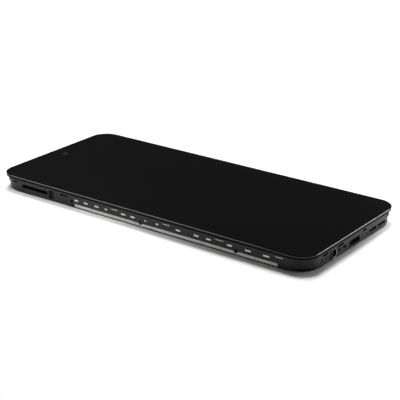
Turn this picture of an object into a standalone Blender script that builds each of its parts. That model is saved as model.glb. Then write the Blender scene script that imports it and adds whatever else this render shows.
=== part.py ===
"""Phone LCD screen assembly, lying glass side up.

A bonded stack of cover glass, liquid crystal cell and backlight sits in a well in the front of its carrier
frame. The frame is black plastic moulded over a cast metal midplate, whose side rails show as bright metal
through rows of windows and along the foot of both long walls. X runs across the phone, Y along it with the
phone's top at +Y, and Z is up. The foot of the frame stands at Z = 0.
"""

import math

import bmesh
import bpy
from mathutils import Matrix, Vector

MM = 0.001

# Cover glass
GLASS_WIDTH = 75.0 * MM
GLASS_LENGTH = 168.8 * MM
GLASS_THICKNESS = 0.65 * MM
GLASS_CORNER_RADIUS = 8.5 * MM
GLASS_EDGE_RUN = 1.1 * MM
GLASS_EDGE_DROP = 0.3 * MM
GLASS_EDGE_STEPS = 4
CORNER_STEPS = 10

# Clearances: between films, between fitted pieces, and round the display module in its well
FILM_GAP = 0.02 * MM
FIT = 0.05 * MM
PLAY = 0.15 * MM

# Layers of the display module, from the front to the back
ADHESIVE_THICKNESS = 0.12 * MM
POLARIZER_THICKNESS = 0.10 * MM
CELL_GLASS_THICKNESS = 0.20 * MM
SHADING_TAPE_THICKNESS = 0.05 * MM
PRISM_SHEET_THICKNESS = 0.06 * MM
DIFFUSER_THICKNESS = 0.06 * MM
LIGHT_GUIDE_THICKNESS = 0.40 * MM
REFLECTOR_THICKNESS = 0.08 * MM
SHELL_THICKNESS = 0.15 * MM
MODULE_TAPE_THICKNESS = 0.15 * MM
BOND_TAPE_THICKNESS = 0.10 * MM

# Plan sizes inside the module
BACKLIGHT_FRAME_WIDTH = 1.0 * MM
SHADING_TAPE_WIDTH = 1.8 * MM
MODULE_TAPE_WIDTH = 2.2 * MM
DRIVER_LEDGE = 2.9 * MM
FLEX_BEND_ROOM = 1.3 * MM
LIGHT_BAR_WIDTH = 2.0 * MM
LED_COUNT = 16
LED_LENGTH = 2.8 * MM
LED_DEPTH = 0.6 * MM
LED_PAD_WIDTH = 0.5 * MM
FILM_SETBACK = 0.2 * MM
DRIVER_CHIP_LENGTH = 21.0 * MM
DRIVER_CHIP_WIDTH = 0.9 * MM
CAMERA_HOLE_SETBACK = 5.0 * MM
CAMERA_HOLE_DIAMETER = 3.6 * MM
CAMERA_SEAT_DIAMETER = 5.2 * MM
CAMERA_COLLAR_WALL = 0.7 * MM
CAMERA_COLLAR_HEIGHT = 1.0 * MM

# Frame walls
BAY_DEPTH = 4.25 * MM
PLATE_THICKNESS = 0.45 * MM
LIP_THICKNESS = 0.60 * MM
LIP_INSET = 0.05 * MM
UPPER_SIDE_INSET = 0.65 * MM
LOWER_SIDE_INSET = 0.70 * MM
UPPER_END_INSET = 0.42 * MM
LOWER_END_INSET = 0.47 * MM
UPPER_RADIUS_GROWTH = 0.7 * MM
LOWER_RADIUS_GROWTH = 2.1 * MM
UPPER_WALL_OVERLAP = 0.35 * MM
SIDE_WALL_THICKNESS = 0.95 * MM
END_WALL_THICKNESS = 1.30 * MM
PLATE_LEDGE = 0.60 * MM
FOOT_CHAMFER = 0.25 * MM

# Metal midplate and its side rails
METAL_TOP_SETBACK = 18.4 * MM
RAIL_TOP_SETBACK = 46.0 * MM
RAIL_BOTTOM_SETBACK = 11.5 * MM
RAIL_THICKNESS = 0.55 * MM
RAIL_RISE = 0.35 * MM
RAIL_FOOT = 0.70 * MM
STRIP_LOW = 0.55 * MM
STRIP_HEIGHT = 1.35 * MM
STRIP_RECESS = 0.12 * MM
STRIP_TOP_INSET = 0.6 * MM
STRIP_BOTTOM_INSET = 3.0 * MM
RIB_THICKNESS = 0.8 * MM
RIB_HEIGHT = 3.1 * MM
BATTERY_TOP_SETBACK = 47.6 * MM
BATTERY_BOTTOM_SETBACK = 29.0 * MM
CABLE_GAP = 9.0 * MM
CABLE_GAP_OFFSET = 18.0 * MM
SPEAKER_RIB_CLEARANCE = 2.1 * MM
SPEAKER_RIB_HEIGHT = 2.4 * MM
MOTOR_SEAT_DIAMETER = 10.2 * MM
MOTOR_SEAT_WALL = 0.8 * MM
MOTOR_SEAT_HEIGHT = 1.6 * MM
MOTOR_SEAT_RISE = 0.1 * MM
MOTOR_SEAT_CLEARANCE = 2.4 * MM
WEB_RIB_HEIGHT = 1.2 * MM
TOP_WEB_RIBS = (-0.62, 0.24, 0.72)
BOTTOM_WEB_RIBS = (-0.68, 0.58)
TAB_LENGTH = 9.0 * MM
TAB_DEPTH = 1.8 * MM
TAB_PITCH = 17.0 * MM
TAB_COUNT = 3

# Windows in the long walls, in millimetres: distance of each from the top end of the rail, and its length
LOWER_WINDOW_HEIGHT = 0.9 * MM
LOWER_WINDOW_DROP = 0.6 * MM
LOWER_WINDOWS = (
    (1.5, 2.5), (7.1, 2.6), (13.4, 2.6), (18.9, 1.6), (28.7, 2.6), (33.9, 2.5), (41.0, 1.1),
    (47.4, 1.6), (58.6, 2.6), (68.1, 2.6), (74.4, 2.6), (85.0, 2.6), (94.0, 3.0), (102.8, 3.2),
)
UPPER_WINDOW_HEIGHT = 0.5 * MM
UPPER_WINDOW_RISE = 0.35 * MM
UPPER_WINDOWS = ((23.9, 3.7), (52.5, 3.7), (80.0, 4.1), (109.0, 3.7))
UPPER_DOTS = ((21.5, 0.5), (50.1, 0.5), (77.4, 0.5), (106.6, 0.5))
LAND_RECESS = 0.2 * MM
LOCATING_NOTCHES = (38.4, 88.2)
NOTCH_WIDTH = 1.6 * MM
NOTCH_HEIGHT = 1.5 * MM

# Left wall above the rail, measured from the top edge of the glass
SIM_SLOT_SETBACK = 22.2 * MM
SIM_SLOT_LENGTH = 15.9 * MM
SIM_SLOT_HEIGHT = 1.6 * MM
SIM_SLOT_DROP = 0.9 * MM
RECESS_SETBACK = 32.4 * MM
RECESS_WIDTH = 2.7 * MM
RECESS_DEPTH = 0.3 * MM
RECESS_MARGIN = 1.0 * MM
SNAP_HEIGHT = 0.7 * MM
SNAP_DEPTH = 0.75 * MM
SIDE_SNAPS = ((9.8, 2.6), (40.3, 4.8))
PIN_HOLE_SETBACK = 45.0 * MM
PIN_HOLE_DIAMETER = 1.5 * MM
PIN_HOLE_DROP = 1.25 * MM

# Key openings in the right wall, measured from the top end of the rail
VOLUME_KEY_STATION = 10.5 * MM
VOLUME_KEY_LENGTH = 18.0 * MM
POWER_KEY_STATION = 29.5 * MM
POWER_KEY_LENGTH = 10.0 * MM
KEY_HEIGHT = 1.9 * MM
KEY_DROP = 1.3 * MM

# Bottom wall: pockets as distance from the left edge of the glass, and length
PORT_DROP = 1.65 * MM
BOTTOM_SNAP_RISE = 0.5 * MM
BOTTOM_SNAPS = ((14.1, 4.0), (26.1, 4.5), (45.8, 3.0), (66.6, 1.8))
BOTTOM_MARK_RISE = 0.35 * MM
BOTTOM_MARK_HEIGHT = 0.8 * MM
BOTTOM_MARKS = ((14.4, 0.8), (16.2, 0.8), (25.0, 2.5), (29.4, 2.5), (44.0, 0.5))
USB_WIDTH = 8.6 * MM
USB_HEIGHT = 2.5 * MM
JACK_SETBACK = 21.5 * MM
JACK_DIAMETER = 3.6 * MM
JACK_RIM_DIAMETER = 4.3 * MM
JACK_RIM_DEPTH = 0.3 * MM
SPEAKER_SLOT_HEIGHT = 1.25 * MM
SPEAKER_SLOTS = ((14.15, 6.5), (21.85, 6.1))
MICROPHONE_DIAMETER = 1.1 * MM
MICROPHONE_SHARE = 0.7
GROOVE_SETBACK = 18.4 * MM
GROOVE_WIDTH = 0.7 * MM
GROOVE_HEIGHT = 3.8 * MM
GROOVE_RISE = 0.5 * MM
SLANT_SLOT_SETBACK = 11.3 * MM
SLANT_SLOT_LENGTH = 2.0 * MM
SLANT_SLOT_ANGLE = math.radians(25.0)

# Top wall: pockets as distance from the left edge of the glass, and length
TOP_SNAPS = ((15.5, 4.5), (29.5, 4.5), (45.5, 4.5), (59.5, 4.5))
TOP_MICROPHONE_SETBACK = 25.0 * MM

# Screw bosses and their brass inserts
BOSS_DIAMETER = 4.6 * MM
BOSS_HEIGHT = 2.7 * MM
BOSS_STAGGER = 1.0 * MM
INSERT_DIAMETER = 2.6 * MM
INSERT_LENGTH = 1.9 * MM
THREAD_DIAMETER = 1.4 * MM
ROUND_STEPS = 20
THREAD_STEPS = 14
SMALL_HOLE_STEPS = 12
FINE_STEPS = 32

# Battery bay floor, camera window and grounding foams
GRAPHITE_THICKNESS = 0.05 * MM
GRAPHITE_MARGIN = 4.0 * MM
GRAPHITE_RADIUS = 2.0 * MM
CAMERA_WINDOW_WIDTH = 21.0 * MM
CAMERA_WINDOW_LENGTH = 17.0 * MM
CAMERA_WINDOW_RADIUS = 1.5 * MM
CAMERA_WINDOW_SIDE = 2.0 * MM
CAMERA_WINDOW_TOP = 3.0 * MM
PLAN_CORNER_STEPS = 4
GROUNDING_PAD_LENGTH = 6.0 * MM
GROUNDING_PAD_WIDTH = 4.0 * MM
GROUNDING_PAD_HEIGHT = 0.8 * MM

# Display flex: bond, bend, taper, slot in the midplate and tail with its board connector
FLEX_THICKNESS = 0.10 * MM
FLEX_BOND_WIDTH = 26.0 * MM
FLEX_TAIL_WIDTH = 13.0 * MM
FLEX_CENTRE = -2.0 * MM
FLEX_BEND_STEPS = 12
FLEX_WIDE_RUN = 4.0 * MM
FLEX_TAPER_RUN = 4.0 * MM
FLEX_SLOT_SETBACK = 20.6 * MM
FLEX_SLOT_WIDTH = 3.0 * MM
FLEX_SLOT_MARGIN = 3.0 * MM
FLEX_SLOT_RADIUS = 0.8 * MM
FLEX_TAIL_LENGTH = 6.5 * MM
FLEX_TAIL_DROP = 0.33 * MM
CONNECTOR_LENGTH = 11.0 * MM
CONNECTOR_WIDTH = 2.6 * MM
CONNECTOR_HEIGHT = 0.8 * MM
CONNECTOR_WALL = 0.6 * MM
SOCKET_DEPTH = 0.5 * MM
STIFFENER_THICKNESS = 0.18 * MM

# Dust meshes
EARPIECE_LENGTH = 13.0 * MM
EARPIECE_HEIGHT = 0.35 * MM
MESH_THICKNESS = 0.25 * MM
MESH_MARGIN = 0.6 * MM

HALF_WIDTH = GLASS_WIDTH / 2
HALF_LENGTH = GLASS_LENGTH / 2
BEYOND = 2.0 * MM
SINK = 0.2 * MM


def above(span, thickness, gap=FILM_GAP):
    """The Z span of a layer laid on the layer that has the given span."""
    low = span[1] + gap
    return (low, low + thickness)


PLATE_Z = (BAY_DEPTH, BAY_DEPTH + PLATE_THICKNESS)
MODULE_TAPE_Z = above(PLATE_Z, MODULE_TAPE_THICKNESS, FIT)
SHELL_FLOOR_Z = above(MODULE_TAPE_Z, SHELL_THICKNESS, FIT)
REFLECTOR_Z = above(SHELL_FLOOR_Z, REFLECTOR_THICKNESS)
LIGHT_GUIDE_Z = above(REFLECTOR_Z, LIGHT_GUIDE_THICKNESS)
DIFFUSER_Z = above(LIGHT_GUIDE_Z, DIFFUSER_THICKNESS)
LOWER_PRISM_Z = above(DIFFUSER_Z, PRISM_SHEET_THICKNESS)
UPPER_PRISM_Z = above(LOWER_PRISM_Z, PRISM_SHEET_THICKNESS)
SHADING_TAPE_Z = above(UPPER_PRISM_Z, SHADING_TAPE_THICKNESS)
REAR_POLARIZER_Z = above(SHADING_TAPE_Z, POLARIZER_THICKNESS)
TFT_Z = above(REAR_POLARIZER_Z, CELL_GLASS_THICKNESS)
COLOR_FILTER_Z = above(TFT_Z, CELL_GLASS_THICKNESS)
FRONT_POLARIZER_Z = above(COLOR_FILTER_Z, POLARIZER_THICKNESS)
ADHESIVE_Z = above(FRONT_POLARIZER_Z, ADHESIVE_THICKNESS)
GLASS_Z = above(ADHESIVE_Z, GLASS_THICKNESS)
LIP_HIGH = GLASS_Z[0] - FILM_GAP - BOND_TAPE_THICKNESS - FILM_GAP
LIP_Z = (LIP_HIGH - LIP_THICKNESS, LIP_HIGH)
UPPER_WALL_LOW = BAY_DEPTH - UPPER_WALL_OVERLAP
RAIL_HIGH = PLATE_Z[1] + RAIL_RISE


def outline(side, end, radius):
    """A rounded outline that lies inside the glass by these distances: X span, Y span and corner radius."""
    return ((-HALF_WIDTH + side, HALF_WIDTH - side), (-HALF_LENGTH + end, HALF_LENGTH - end), radius)


def shrunk(shape, distance, bottom=0.0):
    """The same outline moved inwards all round, and further at the phone's bottom end."""
    (left, right), (low, high), radius = shape
    y_span = (low + distance + bottom, high - distance)
    return ((left + distance, right - distance), y_span, radius - distance)


GLASS_OUTLINE = outline(0.0, 0.0, GLASS_CORNER_RADIUS)
LIP_OUTLINE = shrunk(GLASS_OUTLINE, LIP_INSET)
UPPER_WALL_OUTLINE = outline(UPPER_SIDE_INSET, UPPER_END_INSET, GLASS_CORNER_RADIUS + UPPER_RADIUS_GROWTH)
LOWER_WALL_OUTLINE = outline(LOWER_SIDE_INSET, LOWER_END_INSET, GLASS_CORNER_RADIUS + LOWER_RADIUS_GROWTH)
WALL_INNER = HALF_WIDTH - LOWER_SIDE_INSET - SIDE_WALL_THICKNESS
RAIL_OUTER = WALL_INNER - FIT
RAIL_INNER = RAIL_OUTER - RAIL_THICKNESS
WELL_INSET = HALF_WIDTH - RAIL_INNER + FIT
END_INNER = HALF_LENGTH - LOWER_END_INSET - END_WALL_THICKNESS
WELL_OUTLINE = outline(WELL_INSET, HALF_LENGTH - END_INNER, GLASS_CORNER_RADIUS - WELL_INSET)
BAY_OUTLINE = outline(WELL_INSET + PLATE_LEDGE, HALF_LENGTH - END_INNER, GLASS_CORNER_RADIUS - WELL_INSET)
BAY_HALF_WIDTH = HALF_WIDTH - WELL_INSET - PLATE_LEDGE
SHELL_OUTLINE = shrunk(WELL_OUTLINE, PLAY, FLEX_BEND_ROOM)
CELL_OUTLINE = shrunk(SHELL_OUTLINE, PLAY)
LIGHT_OUTLINE = shrunk(SHELL_OUTLINE, SHELL_THICKNESS + FIT + BACKLIGHT_FRAME_WIDTH + FIT)
RAIL_Y = (-HALF_LENGTH + RAIL_BOTTOM_SETBACK, HALF_LENGTH - RAIL_TOP_SETBACK)
METAL_HIGH_Y = HALF_LENGTH - METAL_TOP_SETBACK
STRIP_Y = (RAIL_Y[0] + STRIP_BOTTOM_INSET, RAIL_Y[1] - STRIP_TOP_INSET)
STRIP_Z = (STRIP_LOW, STRIP_LOW + STRIP_HEIGHT)
KEY_Z = (BAY_DEPTH - KEY_DROP - KEY_HEIGHT / 2, BAY_DEPTH - KEY_DROP + KEY_HEIGHT / 2)
CAMERA_Y = HALF_LENGTH - CAMERA_HOLE_SETBACK
PORT_Z = BAY_DEPTH - PORT_DROP
UPPER_WINDOW_Z = BAY_DEPTH + UPPER_WINDOW_RISE
LOWER_WINDOW_Z = BAY_DEPTH - LOWER_WINDOW_DROP
SIDE_FACE = HALF_WIDTH - LOWER_SIDE_INSET
END_FACE = HALF_LENGTH - LOWER_END_INSET
CAMERA_COLLAR_DIAMETER = CAMERA_SEAT_DIAMETER + 2 * CAMERA_COLLAR_WALL
BATTERY_HIGH_Y = HALF_LENGTH - BATTERY_TOP_SETBACK
BATTERY_LOW_Y = -HALF_LENGTH + BATTERY_BOTTOM_SETBACK
FLEX_SLOT_Y = -HALF_LENGTH + FLEX_SLOT_SETBACK
FLEX_SLOT_LEFT = FLEX_CENTRE - FLEX_TAIL_WIDTH / 2 - FLEX_SLOT_MARGIN
FLEX_SLOT_RIGHT = FLEX_CENTRE + FLEX_TAIL_WIDTH / 2 + FLEX_SLOT_MARGIN


def clear_scene():
    for thing in list(bpy.data.objects):
        bpy.data.objects.remove(thing, do_unlink=True)


def make_collection(name):
    group = bpy.data.collections.new(name)
    bpy.context.scene.collection.children.link(group)
    return group


def make_material(name, colour, roughness, metallic=0.0):
    material = bpy.data.materials.new(name)
    material.use_nodes = True
    shader = material.node_tree.nodes["Principled BSDF"]
    shader.inputs["Base Color"].default_value = (*colour, 1.0)
    shader.inputs["Roughness"].default_value = roughness
    shader.inputs["Metallic"].default_value = metallic
    material.diffuse_color = (*colour, 1.0)
    return material


def around(middle, size):
    """The span of this size about its middle."""
    return (middle - size / 2, middle + size / 2)


def add_slab(bm, x_span, y_span, z_span, radius=0.0, steps=CORNER_STEPS):
    """A cube scaled to the spans, with its upright edges rounded to the radius."""
    spans = (x_span, y_span, z_span)
    size = Vector([high - low for low, high in spans])
    middle = Vector([(high + low) / 2 for low, high in spans])
    verts = bmesh.ops.create_cube(bm, size=1.0)["verts"]
    bmesh.ops.scale(bm, vec=size, verts=verts)
    bmesh.ops.translate(bm, vec=middle, verts=verts)
    if radius <= 0.0:
        return
    edges = {edge for vert in verts for edge in vert.link_edges}
    upright = [edge for edge in edges if abs(edge.verts[0].co.z - edge.verts[1].co.z) > size.z / 2]
    bmesh.ops.bevel(
        bm, geom=upright, offset=radius, offset_type="OFFSET", segments=steps, profile=0.5, affect="EDGES"
    )


def add_outline(bm, shape, z_span):
    add_slab(bm, shape[0], shape[1], z_span, shape[2])


def add_cylinder(bm, centre, diameter, length, axis="Z", steps=ROUND_STEPS):
    """A cylinder about its middle point, with its axis along X, Y or Z."""
    place = Matrix.Translation(centre)
    if axis == "X":
        place = place @ Matrix.Rotation(math.pi / 2, 4, "Y")
    elif axis == "Y":
        place = place @ Matrix.Rotation(-math.pi / 2, 4, "X")
    radius = diameter / 2
    bmesh.ops.create_cone(
        bm, cap_ends=True, segments=steps, radius1=radius, radius2=radius, depth=length, matrix=place
    )


def add_post(bm, centre, diameter, z_span, steps=ROUND_STEPS):
    """An upright cylinder between two heights."""
    middle = (centre[0], centre[1], sum(z_span) / 2)
    add_cylinder(bm, middle, diameter, z_span[1] - z_span[0], steps=steps)


def add_turned(bm, centre, profile, steps=ROUND_STEPS):
    """A turned body along Y: the profile's points, each a distance and a radius, spun round the axis."""
    verts = [bm.verts.new((radius, distance, 0.0)) for distance, radius in profile]
    edges = [bm.edges.new(pair) for pair in zip(verts, verts[1:])]
    turn = 2 * math.pi
    bmesh.ops.spin(bm, geom=verts + edges, axis=(0.0, 1.0, 0.0), angle=turn, steps=steps, use_merge=True)
    bmesh.ops.holes_fill(bm, edges=[edge for edge in bm.edges if edge.is_boundary])
    bmesh.ops.recalc_face_normals(bm, faces=bm.faces)
    bmesh.ops.translate(bm, vec=centre, verts=bm.verts)


def make_object(name, bm, group):
    mesh = bpy.data.meshes.new(name)
    bm.to_mesh(mesh)
    bm.free()
    piece = bpy.data.objects.new(name, mesh)
    group.objects.link(piece)
    return piece


def make_part(name, bm, material, rounded=True):
    """A finished sub-part in the part's own collection."""
    piece = make_object(name, bm, PART_GROUP)
    piece.data.materials.append(material)
    if rounded:
        piece.data.shade_smooth()
        piece.data.set_sharp_from_angle(angle=math.radians(28.0))
    return piece


def apply_tool(piece, bm, label, operation):
    """Cut a piece with, or join to it, the closed bodies in bm."""
    tool = make_object(f"{piece.name}.{label}", bm, TOOL_GROUP)
    tool.hide_render = True
    tool.display_type = "WIRE"
    boolean = piece.modifiers.new(label, "BOOLEAN")
    boolean.operation = operation
    boolean.solver = "EXACT"
    boolean.object = tool


def cut(piece, bm, label):
    apply_tool(piece, bm, label, "DIFFERENCE")


def join(piece, bm, label):
    apply_tool(piece, bm, label, "UNION")


def grown(span, distance=BEYOND):
    return (span[0] - distance, span[1] + distance)


def make_sheet(name, shape, z_span, material, hole_diameter=None):
    """A flat layer of the display, with a round hole for the front camera where it has one."""
    bm = bmesh.new()
    add_outline(bm, shape, z_span)
    sheet = make_part(name, bm, material)
    if hole_diameter:
        hole = bmesh.new()
        add_post(hole, (0.0, CAMERA_Y), hole_diameter, grown(z_span))
        cut(sheet, hole, "camera_hole")


def make_ring(name, shape, width, z_span, material, bottom=0.0):
    """A frame-shaped layer of even width, wider at the phone's bottom end where told."""
    bm = bmesh.new()
    add_outline(bm, shape, z_span)
    ring = make_part(name, bm, material)
    inside = bmesh.new()
    add_outline(inside, shrunk(shape, width, bottom), grown(z_span))
    cut(ring, inside, "inside")
    return ring


def make_cover_glass():
    """Flat glass whose top edge falls away along a quarter ellipse: each ring is an inset of the top."""
    bm = bmesh.new()
    add_outline(bm, GLASS_OUTLINE, (GLASS_Z[0], GLASS_Z[1] - GLASS_EDGE_DROP))
    top = max(bm.faces, key=lambda face: face.calc_center_median().z)
    for step in range(GLASS_EDGE_STEPS):
        low = step / GLASS_EDGE_STEPS * math.pi / 2
        high = (step + 1) / GLASS_EDGE_STEPS * math.pi / 2
        inwards = GLASS_EDGE_RUN * (math.cos(low) - math.cos(high))
        upwards = GLASS_EDGE_DROP * (math.sin(high) - math.sin(low))
        bmesh.ops.inset_region(bm, faces=[top], thickness=inwards, depth=upwards, use_even_offset=True)
    make_part("cover_glass", bm, GLASS)


def make_cell():
    """The liquid crystal cell between its polarizers, bonded under the cover glass."""
    ledge = shrunk(CELL_OUTLINE, 0.0, DRIVER_LEDGE)
    film = shrunk(ledge, FILM_SETBACK)
    make_sheet("optical_adhesive", film, ADHESIVE_Z, CLEAR)
    make_sheet("front_polarizer", film, FRONT_POLARIZER_Z, POLARIZER, CAMERA_HOLE_DIAMETER)
    make_sheet("color_filter_glass", ledge, COLOR_FILTER_Z, CELL_GLASS)
    make_sheet("tft_glass", CELL_OUTLINE, TFT_Z, CELL_GLASS)
    make_sheet("rear_polarizer", film, REAR_POLARIZER_Z, POLARIZER, CAMERA_HOLE_DIAMETER)
    chip = bmesh.new()
    chip_y = CELL_OUTLINE[1][0] + DRIVER_LEDGE - DRIVER_CHIP_WIDTH
    add_slab(chip, around(FLEX_CENTRE, DRIVER_CHIP_LENGTH), around(chip_y, DRIVER_CHIP_WIDTH), COLOR_FILTER_Z)
    make_part("display_driver_chip", chip, SILICON, rounded=False)


def make_backlight():
    """The edge-lit backlight: metal tray, white frame, films, light guide and the row of LEDs."""
    tape = shrunk(SHELL_OUTLINE, FIT)
    make_ring("shading_tape", tape, SHADING_TAPE_WIDTH, SHADING_TAPE_Z, BLACK_TAPE, DRIVER_LEDGE)
    guide = shrunk(LIGHT_OUTLINE, 0.0, LIGHT_BAR_WIDTH)
    films = shrunk(guide, FIT, LIGHT_BAR_WIDTH / 2)
    make_sheet("upper_prism_sheet", films, UPPER_PRISM_Z, FILM, CAMERA_HOLE_DIAMETER)
    make_sheet("lower_prism_sheet", films, LOWER_PRISM_Z, FILM, CAMERA_HOLE_DIAMETER)
    make_sheet("diffuser_sheet", films, DIFFUSER_Z, WHITE_FILM, CAMERA_HOLE_DIAMETER)
    make_sheet("light_guide_plate", guide, LIGHT_GUIDE_Z, CLEAR, CAMERA_HOLE_DIAMETER)
    make_sheet("reflector_sheet", LIGHT_OUTLINE, REFLECTOR_Z, WHITE_FILM, CAMERA_HOLE_DIAMETER)

    inner = shrunk(SHELL_OUTLINE, SHELL_THICKNESS + FIT)
    frame_z = (REFLECTOR_Z[0], UPPER_PRISM_Z[1])
    make_ring("backlight_frame", inner, BACKLIGHT_FRAME_WIDTH, frame_z, WHITE_PLASTIC)

    tray = bmesh.new()
    add_outline(tray, SHELL_OUTLINE, (SHELL_FLOOR_Z[0], UPPER_PRISM_Z[1]))
    shell = make_part("backlight_metal_shell", tray, STEEL)
    hollow = bmesh.new()
    add_outline(hollow, shrunk(SHELL_OUTLINE, SHELL_THICKNESS), (SHELL_FLOOR_Z[1], UPPER_PRISM_Z[1] + BEYOND))
    cut(shell, hollow, "hollow")
    eye = bmesh.new()
    add_post(eye, (0.0, CAMERA_Y), CAMERA_HOLE_DIAMETER, grown(SHELL_FLOOR_Z))
    cut(shell, eye, "camera_hole")

    low_y = LIGHT_OUTLINE[1][0] + FIT
    strip_x = (LIGHT_OUTLINE[0][0] + LIGHT_OUTLINE[2], LIGHT_OUTLINE[0][1] - LIGHT_OUTLINE[2])
    strip = bmesh.new()
    add_slab(strip, strip_x, (low_y, low_y + LIGHT_BAR_WIDTH + LED_PAD_WIDTH), DIFFUSER_Z)
    bar = make_part("led_light_bar", strip, FLEX_FILM, rounded=False)
    leds = bmesh.new()
    pitch = (strip_x[1] - strip_x[0]) / LED_COUNT
    led_y = (low_y + LIGHT_BAR_WIDTH - LED_DEPTH - 2 * FIT, low_y + LIGHT_BAR_WIDTH - 2 * FIT)
    led_z = (LIGHT_GUIDE_Z[0] + FILM_GAP, DIFFUSER_Z[0] + DIFFUSER_THICKNESS / 2)
    for number in range(LED_COUNT):
        add_slab(leds, around(strip_x[0] + (number + 0.5) * pitch, LED_LENGTH), led_y, led_z)
    join(bar, leds, "leds")


def make_display_flex():
    """Flexible circuit: bonded on the ledge, bent round the cell's edge and led through the midplate.

    The middle surface follows a path in the YZ plane, two points wide at each step, and Solidify gives
    it its thickness. It narrows from the bond to the tail before it enters the slot.
    """
    bond_z = TFT_Z[1] + FILM_GAP + FLEX_THICKNESS / 2
    floor_z = PLATE_Z[1] + FIT + FLEX_THICKNESS / 2
    tail_z = PLATE_Z[0] - FLEX_TAIL_DROP
    radius = (bond_z - floor_z) / 2
    bend_y = CELL_OUTLINE[1][0] - 2 * FIT
    path = [(bend_y + DRIVER_LEDGE / 3, bond_z, FLEX_BOND_WIDTH)]
    for step in range(FLEX_BEND_STEPS + 1):
        angle = math.pi / 2 + math.pi * step / FLEX_BEND_STEPS
        y = bend_y + radius * math.cos(angle)
        z = floor_z + radius + radius * math.sin(angle)
        path.append((y, z, FLEX_BOND_WIDTH))
    end_y = FLEX_SLOT_Y + FLEX_SLOT_WIDTH / 3 + FLEX_TAIL_LENGTH
    path.append((bend_y + FLEX_WIDE_RUN, floor_z, FLEX_BOND_WIDTH))
    path.append((bend_y + FLEX_WIDE_RUN + FLEX_TAPER_RUN, floor_z, FLEX_TAIL_WIDTH))
    path.append((FLEX_SLOT_Y - FLEX_SLOT_WIDTH / 3, floor_z, FLEX_TAIL_WIDTH))
    path.append((FLEX_SLOT_Y + FLEX_SLOT_WIDTH / 3, tail_z, FLEX_TAIL_WIDTH))
    path.append((end_y, tail_z, FLEX_TAIL_WIDTH))

    bm = bmesh.new()
    left = [bm.verts.new((FLEX_CENTRE - width / 2, y, z)) for y, z, width in path]
    right = [bm.verts.new((FLEX_CENTRE + width / 2, y, z)) for y, z, width in path]
    for step in range(len(path) - 1):
        bm.faces.new((left[step], left[step + 1], right[step + 1], right[step]))
    flex = make_part("main_display_flex", bm, FLEX_FILM)
    thickness = flex.modifiers.new("thickness", "SOLIDIFY")
    thickness.thickness = FLEX_THICKNESS
    thickness.offset = 0.0
    thickness.use_even_offset = True

    seat_y = (end_y - CONNECTOR_WIDTH - 4 * FIT, end_y - 4 * FIT)
    stiffener = bmesh.new()
    stiffener_z = above((tail_z, tail_z + FLEX_THICKNESS / 2), STIFFENER_THICKNESS)
    add_slab(stiffener, around(FLEX_CENTRE, FLEX_TAIL_WIDTH), grown(seat_y, 2 * FIT), stiffener_z)
    make_part("flex_stiffener", stiffener, STEEL, rounded=False)

    connector = bmesh.new()
    connector_high = tail_z - FLEX_THICKNESS / 2 - FILM_GAP
    connector_z = (connector_high - CONNECTOR_HEIGHT, connector_high)
    connector_x = around(FLEX_CENTRE, CONNECTOR_LENGTH)
    add_slab(connector, connector_x, seat_y, connector_z)
    plug = make_part("flex_connector", connector, BLACK_PLASTIC, rounded=False)
    socket = bmesh.new()
    socket_z = (connector_z[0] - BEYOND, connector_z[0] + SOCKET_DEPTH)
    add_slab(socket, grown(connector_x, -CONNECTOR_WALL), grown(seat_y, -CONNECTOR_WALL), socket_z)
    cut(plug, socket, "socket")


def metal_outline(margin):
    """The midplate in plan, grown by a margin: full width at the rails, narrower above, with tabs."""
    wide = RAIL_OUTER - RAIL_THICKNESS / 2 + margin
    narrow = HALF_WIDTH - WELL_INSET - FIT + margin
    low = RAIL_Y[0] + SINK - margin
    step = RAIL_Y[1] - SINK + margin
    high = METAL_HIGH_Y + margin
    points = [(wide, low), (wide, step), (narrow, step), (narrow, high)]
    for number in range(TAB_COUNT):
        middle = (TAB_COUNT - 1 - 2 * number) / 2 * TAB_PITCH
        right, left = middle + TAB_LENGTH / 2 + margin, middle - TAB_LENGTH / 2 - margin
        points += [(right, high), (right, high + TAB_DEPTH), (left, high + TAB_DEPTH), (left, high)]
    points += [(-narrow, high), (-narrow, step), (-wide, step), (-wide, low)]
    for number in range(TAB_COUNT):
        middle = (2 * number - TAB_COUNT + 1) / 2 * TAB_PITCH
        left, right = middle - TAB_LENGTH / 2 - margin, middle + TAB_LENGTH / 2 + margin
        points += [(left, low), (left, low - TAB_DEPTH), (right, low - TAB_DEPTH), (right, low)]
    return points


def flat_mesh(points, z_span):
    """A flat outline as a closed body: one face through the points, extruded upwards."""
    bm = bmesh.new()
    face = bm.faces.new([bm.verts.new((x, y, z_span[0])) for x, y in points])
    raised = bmesh.ops.extrude_face_region(bm, geom=[face])["geom"]
    top = [vert for vert in raised if isinstance(vert, bmesh.types.BMVert)]
    bmesh.ops.translate(bm, vec=(0.0, 0.0, z_span[1] - z_span[0]), verts=top)
    bmesh.ops.recalc_face_normals(bm, faces=bm.faces)
    return bm


def stations(row):
    """Y span of each window of a row that fits between the ends of the rail."""
    spans = [around(RAIL_Y[1] - station * MM, length * MM) for station, length in row]
    return [span for span in spans if span[0] > RAIL_Y[0] + FIT]


def side_keys(side):
    """Y spans of the volume and power keys, which are in the right wall only."""
    if side < 0:
        return []
    return [
        around(RAIL_Y[1] - VOLUME_KEY_STATION, VOLUME_KEY_LENGTH),
        around(RAIL_Y[1] - POWER_KEY_STATION, POWER_KEY_LENGTH),
    ]


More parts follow.
